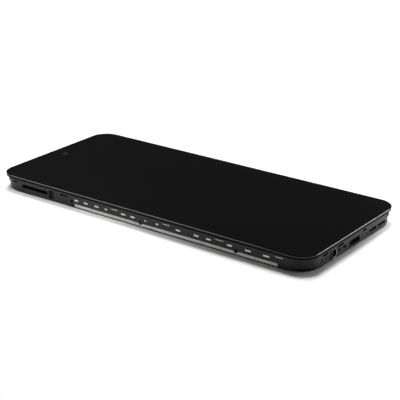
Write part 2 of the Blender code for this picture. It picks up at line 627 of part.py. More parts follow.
def wall_windows(side):
    """Y and Z spans of the windows in a long wall: the lower row leaves room for the keys."""
    keys = side_keys(side)
    lower_z = around(LOWER_WINDOW_Z, LOWER_WINDOW_HEIGHT)
    upper_z = around(UPPER_WINDOW_Z, UPPER_WINDOW_HEIGHT)
    clear = [
        span for span in stations(LOWER_WINDOWS)
        if not any(span[1] > low and span[0] < high for low, high in keys)
    ]
    upper = stations(UPPER_WINDOWS + UPPER_DOTS)
    return [(span, lower_z) for span in clear] + [(span, upper_z) for span in upper]


def side_span(side, inner, outer):
    """The X span between two distances from the centre line, on the side -1 or 1."""
    return (inner, outer) if side > 0 else (-outer, -inner)


def add_notches(bm, side):
    """Round-ended locating notches that cross the top of the bare strip, through wall and rail."""
    reach = side_span(side, RAIL_INNER - SINK, HALF_WIDTH + BEYOND)
    for span in stations([(station, NOTCH_WIDTH / MM) for station in LOCATING_NOTCHES]):
        add_slab(bm, reach, span, around(STRIP_Z[1], NOTCH_HEIGHT))


def boss_places():
    """Centres of the screw bosses in the plastic: four along the top wall, three along the bottom."""
    side = BAY_HALF_WIDTH - BOSS_DIAMETER
    high = END_INNER - BOSS_DIAMETER
    low = -END_INNER + BOSS_DIAMETER
    return [(-side, high), (-side / 3, high + BOSS_STAGGER), (side / 2, high), (side, high),
            (-side, low), (side / 4, low), (side, low)]


def hanging(height):
    """The Z span of a rib or boss that stands this far out from the plate's back, and is rooted in it."""
    return (PLATE_Z[0] - height, PLATE_Z[0] + SINK)


def make_plastic_frame():
    """The moulded surround: lower wall, upper wall and lip, hollowed from both sides, then pierced."""
    bm = bmesh.new()
    add_outline(bm, LOWER_WALL_OUTLINE, (0.0, PLATE_Z[1]))
    rim = [edge for edge in bm.edges if all(vert.co.z < FOOT_CHAMFER for vert in edge.verts)]
    bmesh.ops.bevel(bm, geom=rim, offset=FOOT_CHAMFER, offset_type="OFFSET", segments=1, affect="EDGES")
    frame = make_part("plastic_frame", bm, BLACK_PLASTIC)

    upper = bmesh.new()
    add_outline(upper, UPPER_WALL_OUTLINE, (UPPER_WALL_LOW, LIP_Z[0] + SINK))
    join(frame, upper, "upper_wall")
    lip = bmesh.new()
    add_outline(lip, LIP_OUTLINE, LIP_Z)
    join(frame, lip, "lip")

    well = bmesh.new()
    add_outline(well, WELL_OUTLINE, (PLATE_Z[1], GLASS_Z[1]))
    cut(frame, well, "display_well")
    bay = bmesh.new()
    add_outline(bay, BAY_OUTLINE, (-BEYOND, PLATE_Z[0]))
    cut(frame, bay, "back_bay")
    channel = bmesh.new()
    add_slab(channel, (-WALL_INNER, WALL_INNER), grown(RAIL_Y, FIT), (-BEYOND, RAIL_HIGH + FIT))
    cut(frame, channel, "rail_channel")
    cut(frame, flat_mesh(metal_outline(FIT), (PLATE_Z[0] - FIT, PLATE_Z[1] + SINK)), "plate_seat")

    bosses = bmesh.new()
    for centre in boss_places():
        add_post(bosses, centre, BOSS_DIAMETER, hanging(BOSS_HEIGHT))
    join(frame, bosses, "screw_bosses")
    collar = bmesh.new()
    add_post(collar, (0.0, CAMERA_Y), CAMERA_COLLAR_DIAMETER, hanging(CAMERA_COLLAR_HEIGHT), FINE_STEPS)
    join(frame, collar, "camera_collar")
    add_web_ribs(frame)

    holes = bmesh.new()
    low = PLATE_Z[0] - BOSS_HEIGHT
    for centre in boss_places():
        pocket_z = (low - BEYOND, low + INSERT_LENGTH + 2 * FIT)
        add_post(holes, centre, INSERT_DIAMETER + 2 * FIT, pocket_z)
    add_post(holes, (0.0, CAMERA_Y), CAMERA_SEAT_DIAMETER, grown(PLATE_Z), FINE_STEPS)
    cut(frame, holes, "insert_pockets")

    pierce_rail_walls(frame)
    pierce_side_walls(frame)
    pierce_bottom_wall(frame)
    pierce_top_wall(frame)


def add_web_ribs(frame):
    """Stiffening ribs under the plastic webs at both ends, running out from the metal's edge to the wall."""
    ribs = bmesh.new()
    top_y = (METAL_HIGH_Y + TAB_DEPTH + 2 * SINK, END_INNER + SINK)
    for share in TOP_WEB_RIBS:
        add_slab(ribs, around(share * BAY_HALF_WIDTH, RIB_THICKNESS), top_y, hanging(WEB_RIB_HEIGHT))
    bottom_y = (-END_INNER + BOSS_DIAMETER, RAIL_Y[0] - TAB_DEPTH - 2 * SINK)
    for share in BOTTOM_WEB_RIBS:
        add_slab(ribs, around(share * BAY_HALF_WIDTH, RIB_THICKNESS), bottom_y, hanging(WEB_RIB_HEIGHT))
    join(frame, ribs, "web_ribs")


def pierce_rail_walls(frame):
    """In both long walls: the windows, the keys' openings, the slot of the bare strip and its notches."""
    for side, label in ((-1, "left"), (1, "right")):
        windows = bmesh.new()
        reach = side_span(side, BAY_HALF_WIDTH - SINK, HALF_WIDTH + BEYOND)
        for y_span, z_span in wall_windows(side):
            add_slab(windows, reach, y_span, z_span)
        for span in side_keys(side):
            add_slab(windows, reach, span, KEY_Z)
        cut(frame, windows, f"{label}_windows")

        strip = bmesh.new()
        strip_x = side_span(side, WALL_INNER - SINK, HALF_WIDTH + BEYOND)
        add_slab(strip, strip_x, grown(STRIP_Y, FIT), grown(STRIP_Z, FIT))
        cut(frame, strip, f"{label}_strip_slot")
        notches = bmesh.new()
        add_notches(notches, side)
        cut(frame, notches, f"{label}_notches")


def pierce_side_walls(frame):
    """The SIM slot, pin hole and recess of the left wall, and the snap pockets of both."""
    slots = bmesh.new()
    sim_x = side_span(-1, BAY_HALF_WIDTH - SINK, HALF_WIDTH + BEYOND)
    sim_y = around(HALF_LENGTH - SIM_SLOT_SETBACK, SIM_SLOT_LENGTH)
    add_slab(slots, sim_x, sim_y, around(BAY_DEPTH - SIM_SLOT_DROP, SIM_SLOT_HEIGHT))
    pin = (-HALF_WIDTH, HALF_LENGTH - PIN_HOLE_SETBACK, BAY_DEPTH - PIN_HOLE_DROP)
    add_cylinder(slots, pin, PIN_HOLE_DIAMETER, 3 * BEYOND, "X", SMALL_HOLE_STEPS)
    recess_x = side_span(-1, SIDE_FACE - RECESS_DEPTH, HALF_WIDTH + BEYOND)
    recess_y = around(HALF_LENGTH - RECESS_SETBACK, RECESS_WIDTH)
    add_slab(slots, recess_x, recess_y, (FOOT_CHAMFER + RECESS_MARGIN, LIP_Z[0] - RECESS_MARGIN))
    for side in (-1, 1):
        snap_x = side_span(side, SIDE_FACE - SNAP_DEPTH, HALF_WIDTH + BEYOND)
        for setback, length in SIDE_SNAPS:
            snap_y = around(HALF_LENGTH - setback * MM, length * MM)
            add_slab(slots, snap_x, snap_y, around(UPPER_WINDOW_Z, SNAP_HEIGHT))
    cut(frame, slots, "side_openings")


def across(row):
    """X span of each pocket of a row that is given from the left edge of the glass."""
    return [around(-HALF_WIDTH + setback * MM, length * MM) for setback, length in row]


def pierce_bottom_wall(frame):
    """Headphone, USB and speaker openings, microphone hole, snap pockets and the groove."""
    ports = bmesh.new()
    reach = (-HALF_LENGTH - BEYOND, -END_INNER + SINK)
    add_slab(ports, around(0.0, USB_WIDTH), reach, around(PORT_Z, USB_HEIGHT))
    for span in speaker_spans():
        add_slab(ports, span, reach, around(PORT_Z, SPEAKER_SLOT_HEIGHT))
    cut(frame, ports, "ports")

    microphone = bmesh.new()
    usb_edge = USB_WIDTH / 2
    speaker_edge = min(span[0] for span in speaker_spans())
    microphone_x = usb_edge + MICROPHONE_SHARE * (speaker_edge - usb_edge)
    place = (microphone_x, -END_INNER, PORT_Z)
    add_cylinder(microphone, place, MICROPHONE_DIAMETER, 2 * BEYOND, "Y", SMALL_HOLE_STEPS)
    cut(frame, microphone, "microphone_hole")

    pockets = bmesh.new()
    blind = (-HALF_LENGTH - BEYOND, -END_FACE + SNAP_DEPTH)
    for span in across(BOTTOM_SNAPS):
        add_slab(pockets, span, blind, around(BAY_DEPTH + BOTTOM_SNAP_RISE, SNAP_HEIGHT))
    for span in across(BOTTOM_MARKS):
        add_slab(pockets, span, blind, around(PORT_Z + BOTTOM_MARK_RISE, BOTTOM_MARK_HEIGHT))
    groove_y = (-HALF_LENGTH - BEYOND, -END_FACE + RECESS_DEPTH)
    groove_z = around(PORT_Z + GROOVE_RISE, GROOVE_HEIGHT)
    add_slab(pockets, around(-HALF_WIDTH + GROOVE_SETBACK, GROOVE_WIDTH), groove_y, groove_z)
    cut(frame, pockets, "bottom_pockets")

    jack = bmesh.new()
    rim, bore = JACK_RIM_DIAMETER / 2, JACK_DIAMETER / 2
    profile = [(-BEYOND, rim), (0.0, rim), (JACK_RIM_DEPTH, bore), (2 * BEYOND, bore)]
    add_turned(jack, (-HALF_WIDTH + JACK_SETBACK, -END_FACE, PORT_Z), profile, FINE_STEPS)
    cut(frame, jack, "jack_opening")
    slant = bmesh.new()
    add_slab(slant, around(0.0, GROOVE_WIDTH), (-BEYOND, SNAP_DEPTH), around(0.0, SLANT_SLOT_LENGTH))
    place = Matrix.Translation((-HALF_WIDTH + SLANT_SLOT_SETBACK, -END_FACE, PORT_Z + GROOVE_RISE))
    bmesh.ops.transform(slant, matrix=place @ Matrix.Rotation(SLANT_SLOT_ANGLE, 4, "Y"), verts=slant.verts)
    cut(frame, slant, "slanted_slot")


def speaker_spans():
    """X spans of the two speaker slots, given from the right edge of the glass."""
    return [around(HALF_WIDTH - setback * MM, length * MM) for setback, length in SPEAKER_SLOTS]


def pierce_top_wall(frame):
    """A microphone hole, snap pockets and the earpiece slot in the lip."""
    openings = bmesh.new()
    microphone = (HALF_WIDTH - TOP_MICROPHONE_SETBACK, END_INNER, PORT_Z)
    add_cylinder(openings, microphone, MICROPHONE_DIAMETER, 2 * BEYOND, "Y", SMALL_HOLE_STEPS)
    blind = (END_FACE - SNAP_DEPTH, HALF_LENGTH + BEYOND)
    for span in across(TOP_SNAPS):
        add_slab(openings, span, blind, around(UPPER_WINDOW_Z, SNAP_HEIGHT))
    earpiece_y = (END_INNER - SINK, HALF_LENGTH + BEYOND)
    earpiece_z = (LIP_Z[1] - EARPIECE_HEIGHT, LIP_Z[1] + BEYOND)
    add_slab(openings, around(0.0, EARPIECE_LENGTH), earpiece_y, earpiece_z)
    cut(frame, openings, "top_openings")


def make_metal_midplate():
    """The cast plate with its side rails, the bare strip along their foot, battery ribs and bosses."""
    plate = make_part("metal_midplate", flat_mesh(metal_outline(0.0), PLATE_Z), CAST_METAL, rounded=False)
    rails = bmesh.new()
    strips = bmesh.new()
    root = RAIL_INNER + RAIL_THICKNESS / 2
    for side in (-1, 1):
        add_slab(rails, side_span(side, RAIL_INNER, RAIL_OUTER), RAIL_Y, (RAIL_FOOT, RAIL_HIGH))
        add_slab(strips, side_span(side, root, SIDE_FACE - STRIP_RECESS), STRIP_Y, STRIP_Z)
        for y_span, z_span in wall_windows(side):
            land_x = side_span(side, root, SIDE_FACE - LAND_RECESS)
            add_slab(strips, land_x, grown(y_span, -FIT), grown(z_span, -FIT))
    join(plate, rails, "rails")
    join(plate, strips, "strips_and_lands")

    ribs = bmesh.new()
    end = RAIL_INNER + SINK
    near, far = around(CABLE_GAP_OFFSET, CABLE_GAP)
    for rib_y in (BATTERY_HIGH_Y, BATTERY_LOW_Y):
        for span in ((-end, -far), (-near, near), (far, end)):
            add_slab(ribs, span, around(rib_y, RIB_THICKNESS), hanging(RIB_HEIGHT))
    join(plate, ribs, "battery_ribs")
    fit_sub_board_bay(plate)

    bosses = bmesh.new()
    threads = bmesh.new()
    low = PLATE_Z[0] - BOSS_HEIGHT
    for centre in metal_boss_places():
        add_post(bosses, centre, BOSS_DIAMETER, hanging(BOSS_HEIGHT))
        add_post(threads, centre, THREAD_DIAMETER, (low - BEYOND, low + INSERT_LENGTH), THREAD_STEPS)
    join(plate, bosses, "bosses")
    cut(plate, threads, "threads")

    windows = bmesh.new()
    right = BAY_HALF_WIDTH - CAMERA_WINDOW_SIDE
    high = METAL_HIGH_Y - CAMERA_WINDOW_TOP
    camera_x = (right - CAMERA_WINDOW_WIDTH, right)
    camera_y = (high - CAMERA_WINDOW_LENGTH, high)
    add_slab(windows, camera_x, camera_y, grown(PLATE_Z), CAMERA_WINDOW_RADIUS, PLAN_CORNER_STEPS)
    slot_x = (FLEX_SLOT_LEFT, FLEX_SLOT_RIGHT)
    slot_y = around(FLEX_SLOT_Y, FLEX_SLOT_WIDTH)
    add_slab(windows, slot_x, slot_y, grown(PLATE_Z), FLEX_SLOT_RADIUS, PLAN_CORNER_STEPS)
    cut(plate, windows, "windows")
    side_holes = bmesh.new()
    for side in (-1, 1):
        add_notches(side_holes, side)
        for span in side_keys(side):
            add_slab(side_holes, side_span(side, RAIL_INNER - SINK, HALF_WIDTH), span, KEY_Z)
    cut(plate, side_holes, "side_holes")


def fit_sub_board_bay(plate):
    """The rib beside the speaker chamber and the round seat of the vibration motor."""
    bay_high = BATTERY_LOW_Y - RIB_THICKNESS
    rib = bmesh.new()
    rib_low = FLEX_SLOT_RIGHT + SPEAKER_RIB_CLEARANCE
    rib_x = (rib_low, rib_low + RIB_THICKNESS)
    add_slab(rib, rib_x, (RAIL_Y[0] + 2 * SINK, bay_high), hanging(SPEAKER_RIB_HEIGHT))
    join(plate, rib, "speaker_rib")

    outer_diameter = MOTOR_SEAT_DIAMETER + 2 * MOTOR_SEAT_WALL
    centre_x = FLEX_SLOT_LEFT - MOTOR_SEAT_CLEARANCE - outer_diameter / 2
    centre = (centre_x, (RAIL_Y[0] + bay_high) / 2)
    seat_z = hanging(MOTOR_SEAT_HEIGHT)
    outer = bmesh.new()
    add_post(outer, centre, outer_diameter, seat_z, FINE_STEPS)
    join(plate, outer, "motor_seat")
    inner = bmesh.new()
    pocket_z = (seat_z[0] - BEYOND, PLATE_Z[0] - MOTOR_SEAT_RISE)
    add_post(inner, centre, MOTOR_SEAT_DIAMETER, pocket_z, FINE_STEPS)
    cut(plate, inner, "motor_pocket")


def metal_boss_places():
    """Centres of the tapped bosses in the metal: beside the main board and beside the sub-board."""
    side = BAY_HALF_WIDTH - BOSS_DIAMETER
    main_low = BATTERY_HIGH_Y + BOSS_DIAMETER
    sub_high = BATTERY_LOW_Y - BOSS_DIAMETER / 2
    return [(-side, main_low), (side, main_low), (-side / 3, METAL_HIGH_Y - BOSS_DIAMETER),
            (-side, sub_high), (side, sub_high)]


def make_inserts():
    """Brass inserts in the plastic bosses, each a turned bush with a bore."""
    low = PLATE_Z[0] - BOSS_HEIGHT + FIT
    insert_z = (low, low + INSERT_LENGTH)
    for number, centre in enumerate(boss_places(), start=1):
        bm = bmesh.new()
        add_post(bm, centre, INSERT_DIAMETER, insert_z)
        insert = make_part(f"screw_insert_{number}", bm, BRASS)
        bore = bmesh.new()
        add_post(bore, centre, THREAD_DIAMETER, grown(insert_z), THREAD_STEPS)
        cut(insert, bore, "bore")


def make_tapes():
    """The adhesive ring under the cover glass and the foam ring behind the display module."""
    bond_z = above(LIP_Z, BOND_TAPE_THICKNESS)
    bond_width = WELL_INSET - 2 * PLAY - 4 * FIT
    make_ring("glass_bond_tape", shrunk(GLASS_OUTLINE, 2 * PLAY), bond_width, bond_z, BLACK_TAPE)

    shape = shrunk(SHELL_OUTLINE, 2 * PLAY)
    foam = make_ring("module_foam_tape", shape, MODULE_TAPE_WIDTH, MODULE_TAPE_Z, FOAM)
    gap = bmesh.new()
    flex_x = grown(around(FLEX_CENTRE, FLEX_BOND_WIDTH), PLAY)
    add_slab(gap, flex_x, around(shape[1][0], 4 * MODULE_TAPE_WIDTH), grown(MODULE_TAPE_Z))
    add_post(gap, (0.0, CAMERA_Y), CAMERA_SEAT_DIAMETER + 2 * PLAY, grown(MODULE_TAPE_Z), FINE_STEPS)
    cut(foam, gap, "flex_and_camera_gaps")


def make_gasket():
    """The foam ring that seals the front camera against the back of the display."""
    gasket_z = (PLATE_Z[0] - CAMERA_COLLAR_HEIGHT / 2, SHELL_FLOOR_Z[0] - FIT)
    bm = bmesh.new()
    add_post(bm, (0.0, CAMERA_Y), CAMERA_SEAT_DIAMETER - 2 * FIT, gasket_z, FINE_STEPS)
    gasket = make_part("front_camera_gasket", bm, FOAM)
    eye = bmesh.new()
    add_post(eye, (0.0, CAMERA_Y), CAMERA_HOLE_DIAMETER, grown(gasket_z), FINE_STEPS)
    cut(gasket, eye, "eye")


def make_meshes():
    """Dust meshes, as thin plates: in the earpiece slot of the lip, and behind the speaker slots."""
    ear = bmesh.new()
    ear_y = HALF_LENGTH - LIP_INSET - PLAY
    ear_z = (LIP_Z[1] - EARPIECE_HEIGHT + FILM_GAP, LIP_Z[1] - FILM_GAP)
    ear_x = around(0.0, EARPIECE_LENGTH - 2 * FIT)
    add_slab(ear, ear_x, (ear_y - 2 * MESH_THICKNESS, ear_y), ear_z)
    make_part("earpiece_mesh", ear, MESH_METAL, rounded=False)

    speaker = bmesh.new()
    spans = speaker_spans()
    speaker_x = (min(span[0] for span in spans), max(span[1] for span in spans))
    speaker_y = (-END_INNER + FIT, -END_INNER + FIT + MESH_THICKNESS)
    speaker_z = around(PORT_Z, SPEAKER_SLOT_HEIGHT)
    add_slab(speaker, grown(speaker_x, MESH_MARGIN), speaker_y, grown(speaker_z, MESH_MARGIN))
    make_part("speaker_mesh", speaker, MESH_METAL, rounded=False)


def make_back_pieces():
    """The graphite sheet on the battery bay's floor and two grounding foams beside the main board."""
    back = PLATE_Z[0] - FIT
    graphite = bmesh.new()
    sheet_x = grown((-RAIL_INNER, RAIL_INNER), -GRAPHITE_MARGIN)
    sheet_y = grown((BATTERY_LOW_Y, BATTERY_HIGH_Y), -GRAPHITE_MARGIN)
    sheet_z = (back - GRAPHITE_THICKNESS, back)
    add_slab(graphite, sheet_x, sheet_y, sheet_z, GRAPHITE_RADIUS, PLAN_CORNER_STEPS)
    make_part("graphite_sheet", graphite, GRAPHITE, rounded=False)

    pad_y = around(BATTERY_HIGH_Y + 3 * BOSS_DIAMETER, GROUNDING_PAD_WIDTH)
    for number, x in enumerate((-BAY_HALF_WIDTH / 2, -BAY_HALF_WIDTH / 8), start=1):
        pad = bmesh.new()
        add_slab(pad, around(x, GROUNDING_PAD_LENGTH), pad_y, (back - GROUNDING_PAD_HEIGHT, back))
        make_part(f"grounding_foam_{number}", pad, CONDUCTIVE_FOAM, rounded=False)


clear_scene()
PART_GROUP = make_collection("phone_lcd_screen_assembly")
TOOL_GROUP = make_collection("cutting_tools")

GLASS = make_material("black_cover_glass", (0.010, 0.010, 0.011), 0.06)
CLEAR = make_material("clear_acrylic", (0.80, 0.84, 0.85), 0.08)
POLARIZER = make_material("polarizer_film", (0.05, 0.05, 0.06), 0.20)
CELL_GLASS = make_material("cell_glass", (0.30, 0.36, 0.34), 0.05)
FILM = make_material("prism_film", (0.75, 0.78, 0.80), 0.25)
WHITE_FILM = make_material("white_film", (0.86, 0.87, 0.88), 0.45)
WHITE_PLASTIC = make_material("white_plastic", (0.82, 0.83, 0.82), 0.40)
BLACK_PLASTIC = make_material("black_plastic", (0.022, 0.022, 0.024), 0.48)
BLACK_TAPE = make_material("black_tape", (0.015, 0.015, 0.015), 0.75)
FOAM = make_material("black_foam", (0.025, 0.025, 0.025), 0.95)
STEEL = make_material("bright_steel", (0.62, 0.62, 0.60), 0.30, 1.0)
CAST_METAL = make_material("cast_metal", (0.50, 0.49, 0.46), 0.42, 1.0)
BRASS = make_material("brass", (0.70, 0.52, 0.24), 0.32, 1.0)
SILICON = make_material("silicon", (0.06, 0.06, 0.07), 0.15)
FLEX_FILM = make_material("polyimide_flex", (0.16, 0.07, 0.02), 0.35)
MESH_METAL = make_material("black_mesh", (0.03, 0.03, 0.03), 0.60, 0.5)
GRAPHITE = make_material("graphite", (0.05, 0.05, 0.055), 0.50, 0.3)
CONDUCTIVE_FOAM = make_material("conductive_foam", (0.30, 0.30, 0.29), 0.60, 0.6)

make_cover_glass()
make_cell()
make_backlight()
make_display_flex()
make_plastic_frame()
make_metal_midplate()
make_inserts()
make_tapes()
make_gasket()
make_meshes()
make_back_pieces()
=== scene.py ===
# %% [markdown]
# # A phone's display in its frame
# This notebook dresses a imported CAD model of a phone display: a sheet of black glass with a curved edge,
# bonded to a stack of films and thin glass, in a black plastic frame that is moulded over cast metal. The CAD
# solids say where everything is. Here the pieces that the eye meets are made again with finer surfaces, and
# every piece gets a finish with its own grain, print, weave or polish.

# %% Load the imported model
import math

import bmesh
import bpy
import numpy as np
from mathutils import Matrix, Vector


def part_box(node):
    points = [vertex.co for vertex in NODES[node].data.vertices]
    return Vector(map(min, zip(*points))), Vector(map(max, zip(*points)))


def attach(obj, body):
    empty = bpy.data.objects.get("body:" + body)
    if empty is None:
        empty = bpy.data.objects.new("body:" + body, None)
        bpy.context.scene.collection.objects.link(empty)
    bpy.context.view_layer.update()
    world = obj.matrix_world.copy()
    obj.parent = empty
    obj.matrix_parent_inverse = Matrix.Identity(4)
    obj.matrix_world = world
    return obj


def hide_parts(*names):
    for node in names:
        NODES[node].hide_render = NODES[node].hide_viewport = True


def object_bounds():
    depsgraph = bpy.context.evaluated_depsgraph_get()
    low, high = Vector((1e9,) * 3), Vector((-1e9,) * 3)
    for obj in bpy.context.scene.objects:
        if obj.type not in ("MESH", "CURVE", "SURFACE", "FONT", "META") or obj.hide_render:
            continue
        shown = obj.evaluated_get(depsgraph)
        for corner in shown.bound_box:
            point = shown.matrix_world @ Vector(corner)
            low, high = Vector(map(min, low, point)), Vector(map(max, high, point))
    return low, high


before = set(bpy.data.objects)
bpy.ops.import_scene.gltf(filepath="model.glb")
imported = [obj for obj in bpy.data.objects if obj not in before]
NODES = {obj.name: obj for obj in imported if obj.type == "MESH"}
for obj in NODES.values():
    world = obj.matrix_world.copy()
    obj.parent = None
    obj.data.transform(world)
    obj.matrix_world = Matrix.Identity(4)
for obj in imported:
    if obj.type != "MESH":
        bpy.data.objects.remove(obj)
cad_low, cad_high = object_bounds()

MM = 0.001
print("nodes:", len(NODES), "size in mm:", [round(side / MM, 2) for side in cad_high - cad_low])

# %% [markdown]
# ## The camera
# The display was photographed from its bottom left corner, from 21.5 degrees above the table, with a long
# lens. A long lens keeps the far end almost as large as the near one. The camera is placed by its aim point,
# its two angles and its distance, which is how a photographer thinks. The picture is square, so the sensor's
# width is the picture's width.

# %% Camera
LENS = 106.4
SENSOR_WIDTH = 36.0
AZIMUTH = math.radians(-53.55)
ELEVATION = math.radians(21.47)
DISTANCE = 517.6 * MM
AIM = Vector((-10.78 * MM, -12.60 * MM, cad_high.z))

backwards = Vector((
    math.sin(AZIMUTH) * math.cos(ELEVATION),
    -math.cos(AZIMUTH) * math.cos(ELEVATION),
    math.sin(ELEVATION),
))
camera = bpy.data.objects.new("camera", bpy.data.cameras.new("camera"))
camera.data.lens = LENS
camera.data.sensor_width = SENSOR_WIDTH
camera.data.clip_start = 10 * MM
camera.location = AIM + backwards * DISTANCE
camera.rotation_mode = "QUATERNION"
camera.rotation_quaternion = (-backwards).to_track_quat("-Z", "Y")
bpy.context.scene.collection.objects.link(camera)
bpy.context.scene.camera = camera
print("camera at", [round(c, 3) for c in camera.location])

# %% [markdown]
# ## Tools for finishes
# A finish is a small network of shader nodes, and most networks repeat the same few steps: read the place on
# the piece, make a pattern, stretch it to a range, and use it as a colour, a roughness or a relief. A class
# that remembers its node tree keeps each step to one line. Patterns read Object coordinates. Every piece sits
# at the origin in metres, so a pattern's size is its real size, and it stays where it is from every side.

# %% A small workshop for finishes
class Finish:
    """One material, with a method for each step of its network."""

    def __init__(self, name, colour, roughness, metallic=0.0):
        self.material = bpy.data.materials.new(name)
        self.material.use_nodes = True
        self.material.diffuse_color = (*colour, 1.0)
        self.nodes = self.material.node_tree.nodes
        self.shader = self.nodes["Principled BSDF"]
        self.surface({"Base Color": colour, "Roughness": roughness, "Metallic": metallic})
        self.place = self.nodes.new("ShaderNodeTexCoord").outputs["Object"]

    def feed(self, socket, value):
        """Link another node's output to a socket, or set a plain value there."""
        if isinstance(value, bpy.types.NodeSocket):
            self.material.node_tree.links.new(value, socket)
        elif isinstance(value, tuple) and socket.type == "RGBA":
            socket.default_value = (*value, 1.0)
        else:
            socket.default_value = value

    def node(self, kind, values, output):
        """A new node with its inputs fed by name, and one of its outputs."""
        node = self.nodes.new("ShaderNode" + kind)
        for name, value in values.items():
            self.feed(node.inputs[name], value)
        return node.outputs[output]

    def surface(self, values):
        """Feed the surface shader's sockets by name."""
        for name, value in values.items():
            self.feed(self.shader.inputs[name], value)

    def along(self, axis):
        """One coordinate of the place on the piece."""
        return self.node("SeparateXYZ", {"Vector": self.place}, axis)

    def stretched(self, *scale):
        """The place, scaled by a different amount along each axis."""
        return self.node("Mapping", {"Vector": self.place, "Scale": scale}, "Vector")

    def grain(self, size, detail=3.0, place=None):
        """Noise whose lumps are about this size."""
        values = {"Vector": place or self.place, "Scale": 1.0 / size, "Detail": detail}
        return self.node("TexNoise", values, "Fac")

    def cells(self, size):
        """Distance to the nearest of scattered points that lie about this far apart."""
        return self.node("TexVoronoi", {"Vector": self.place, "Scale": 1.0 / size}, "Distance")

    def maths(self, operation, first, second=0.0):
        """One step of arithmetic with one or two values."""
        node = self.nodes.new("ShaderNodeMath")
        node.operation = operation
        self.feed(node.inputs[0], first)
        self.feed(node.inputs[1], second)
        return node.outputs["Value"]

    def ripples(self, axis, pitch):
        """Waves between 0 and 1 along one axis: half of the sine of its turns, plus a half."""
        turns = self.maths("MULTIPLY", self.along(axis), 2 * math.pi / pitch)
        return self.maths("ADD", self.maths("MULTIPLY", self.maths("SINE", turns), 0.5), 0.5)

    def ranged(self, value, low, high, to_low=0.0, to_high=1.0):
        """The value's span from low to high, stretched smoothly to another span and held beyond it."""
        node = self.nodes.new("ShaderNodeMapRange")
        node.interpolation_type = "SMOOTHSTEP"
        names = {"Value": value, "From Min": low, "From Max": high, "To Min": to_low, "To Max": to_high}
        for name, number in names.items():
            self.feed(node.inputs[name], number)
        return node.outputs["Result"]

    def both(self, *masks):
        """The product of masks: 1 only where every one of them is 1."""
        product = masks[0]
        for mask in masks[1:]:
            product = self.maths("MULTIPLY", product, mask)
        return product

    def within(self, place, low, high, soft):
        """A mask that is 1 between two stations of a coordinate, and fades over a soft width outside them."""
        return self.both(self.ranged(place, low - soft, low), self.ranged(place, high + soft, high))

    def between(self, factor, first, second):
        """A colour that goes from the first to the second as the factor goes from 0 to 1.

        The node has a set of sockets for each type of value, so those for colours go by number.
        """
        node = self.nodes.new("ShaderNodeMix")
        node.data_type = "RGBA"
        for number, value in ((0, factor), (6, first), (7, second)):
            self.feed(node.inputs[number], value)
        return node.outputs[2]

    def length(self, first, second):
        """The root of the sum of two squares."""
        squares = [self.maths("MULTIPLY", part, part) for part in (first, second)]
        return self.maths("SQRT", self.maths("ADD", *squares))

    def relief(self, height, depth):
        """Surface relief from a height between 0 and 1, with its full depth in metres."""
        bump = self.node("Bump", {"Height": height, "Distance": depth, "Strength": 1.0}, "Normal")
        self.surface({"Normal": bump})


print("tools for finishes ready")

# %% [markdown]
# ## The table
# The table is a plain white sheet, as under most photographs of spare parts. Its far parts should come out
# pure white, but lamps strong enough for that would also make the black display grey. So the table glows a
# little instead, beyond the few millimetres round the display where its shadow falls.

# %% Table
TABLE_SIZE = 6.0
TABLE_WHITE = (0.93, 0.93, 0.93)
GLOW = 0.225
GLOW_START = 1.0 * MM
GLOW_FULL = 7.0 * MM


def finish_table():
    """White, with a glow that begins just outside the display's rectangle.

    The distance from the rectangle is the length of (|x| - half width, |y| - half length), where each part
    counts only when it is positive. Camera, mirror and glass rays see the glow, and it lights nothing else.
    """
    table = Finish("white_table", TABLE_WHITE, 0.9)
    beyond = []
    for axis, half in (("X", cad_high.x), ("Y", cad_high.y)):
        past = table.maths("SUBTRACT", table.maths("ABSOLUTE", table.along(axis)), half)
        beyond.append(table.maths("MAXIMUM", past, 0.0))
    away = table.ranged(table.length(*beyond), GLOW_START, GLOW_FULL, 0.0, GLOW)
    rays = table.nodes.new("ShaderNodeLightPath").outputs
    sharp = table.maths("ADD", rays["Is Camera Ray"], rays["Is Transmission Ray"])
    seen = table.maths("MINIMUM", table.maths("ADD", sharp, rays["Is Glossy Ray"]), 1.0)
    table.surface({"Emission Color": TABLE_WHITE, "Emission Strength": table.both(away, seen)})
    return table.material


def add_table():
    """One square face at height 0."""
    half = TABLE_SIZE / 2
    corners = [(-half, -half, 0.0), (half, -half, 0.0), (half, half, 0.0), (-half, half, 0.0)]
    mesh = bpy.data.meshes.new("floor")
    mesh.from_pydata(corners, [], [(0, 1, 2, 3)])
    mesh.materials.append(finish_table())
    floor = bpy.data.objects.new("floor", mesh)
    bpy.context.scene.collection.objects.link(floor)
    return floor


print("table:", add_table().name, "with sides of", TABLE_SIZE, "m")

# %% [markdown]
# ## The light
# The key light is a large softbox high over the right side, which throws a short soft shadow towards the
# camera, and fills lift that shadow at its ends. No glossy surface shows these lamps. Four more lamps do the
# opposite: they light nothing and only draw reflections. One over the far left end makes the bright line
# along the glass's curved edge, one on the right does the same for the short side, and a low one on each side
# gives the walls their sheen. The room is dark, because black glass shows the wall that it faces.

# %% Lamps and room
ROOM_COLOUR = (0.036, 0.036, 0.037, 1.0)


def add_lamp(name, direction, distance, radius, radiance, target=(0.0, 0.0, 0.0)):
    """A round lamp in a direction from its target. Its power is pi times its radiance times its area."""
    lamp = bpy.data.lights.new(name, "AREA")
    lamp.shape = "DISK"
    lamp.size = 2 * radius
    lamp.energy = math.pi * radiance * math.pi * radius ** 2
    holder = bpy.data.objects.new(name, lamp)
    towards = Vector(direction).normalized()
    holder.location = Vector(target) + towards * distance
    holder.rotation_mode = "QUATERNION"
    holder.rotation_quaternion = (-towards).to_track_quat("-Z", "Y")
    holder.visible_camera = False
    bpy.context.scene.collection.objects.link(holder)
    print(name, "is", round(distance, 2), "m away and gives", round(lamp.energy, 1), "W")
    return holder


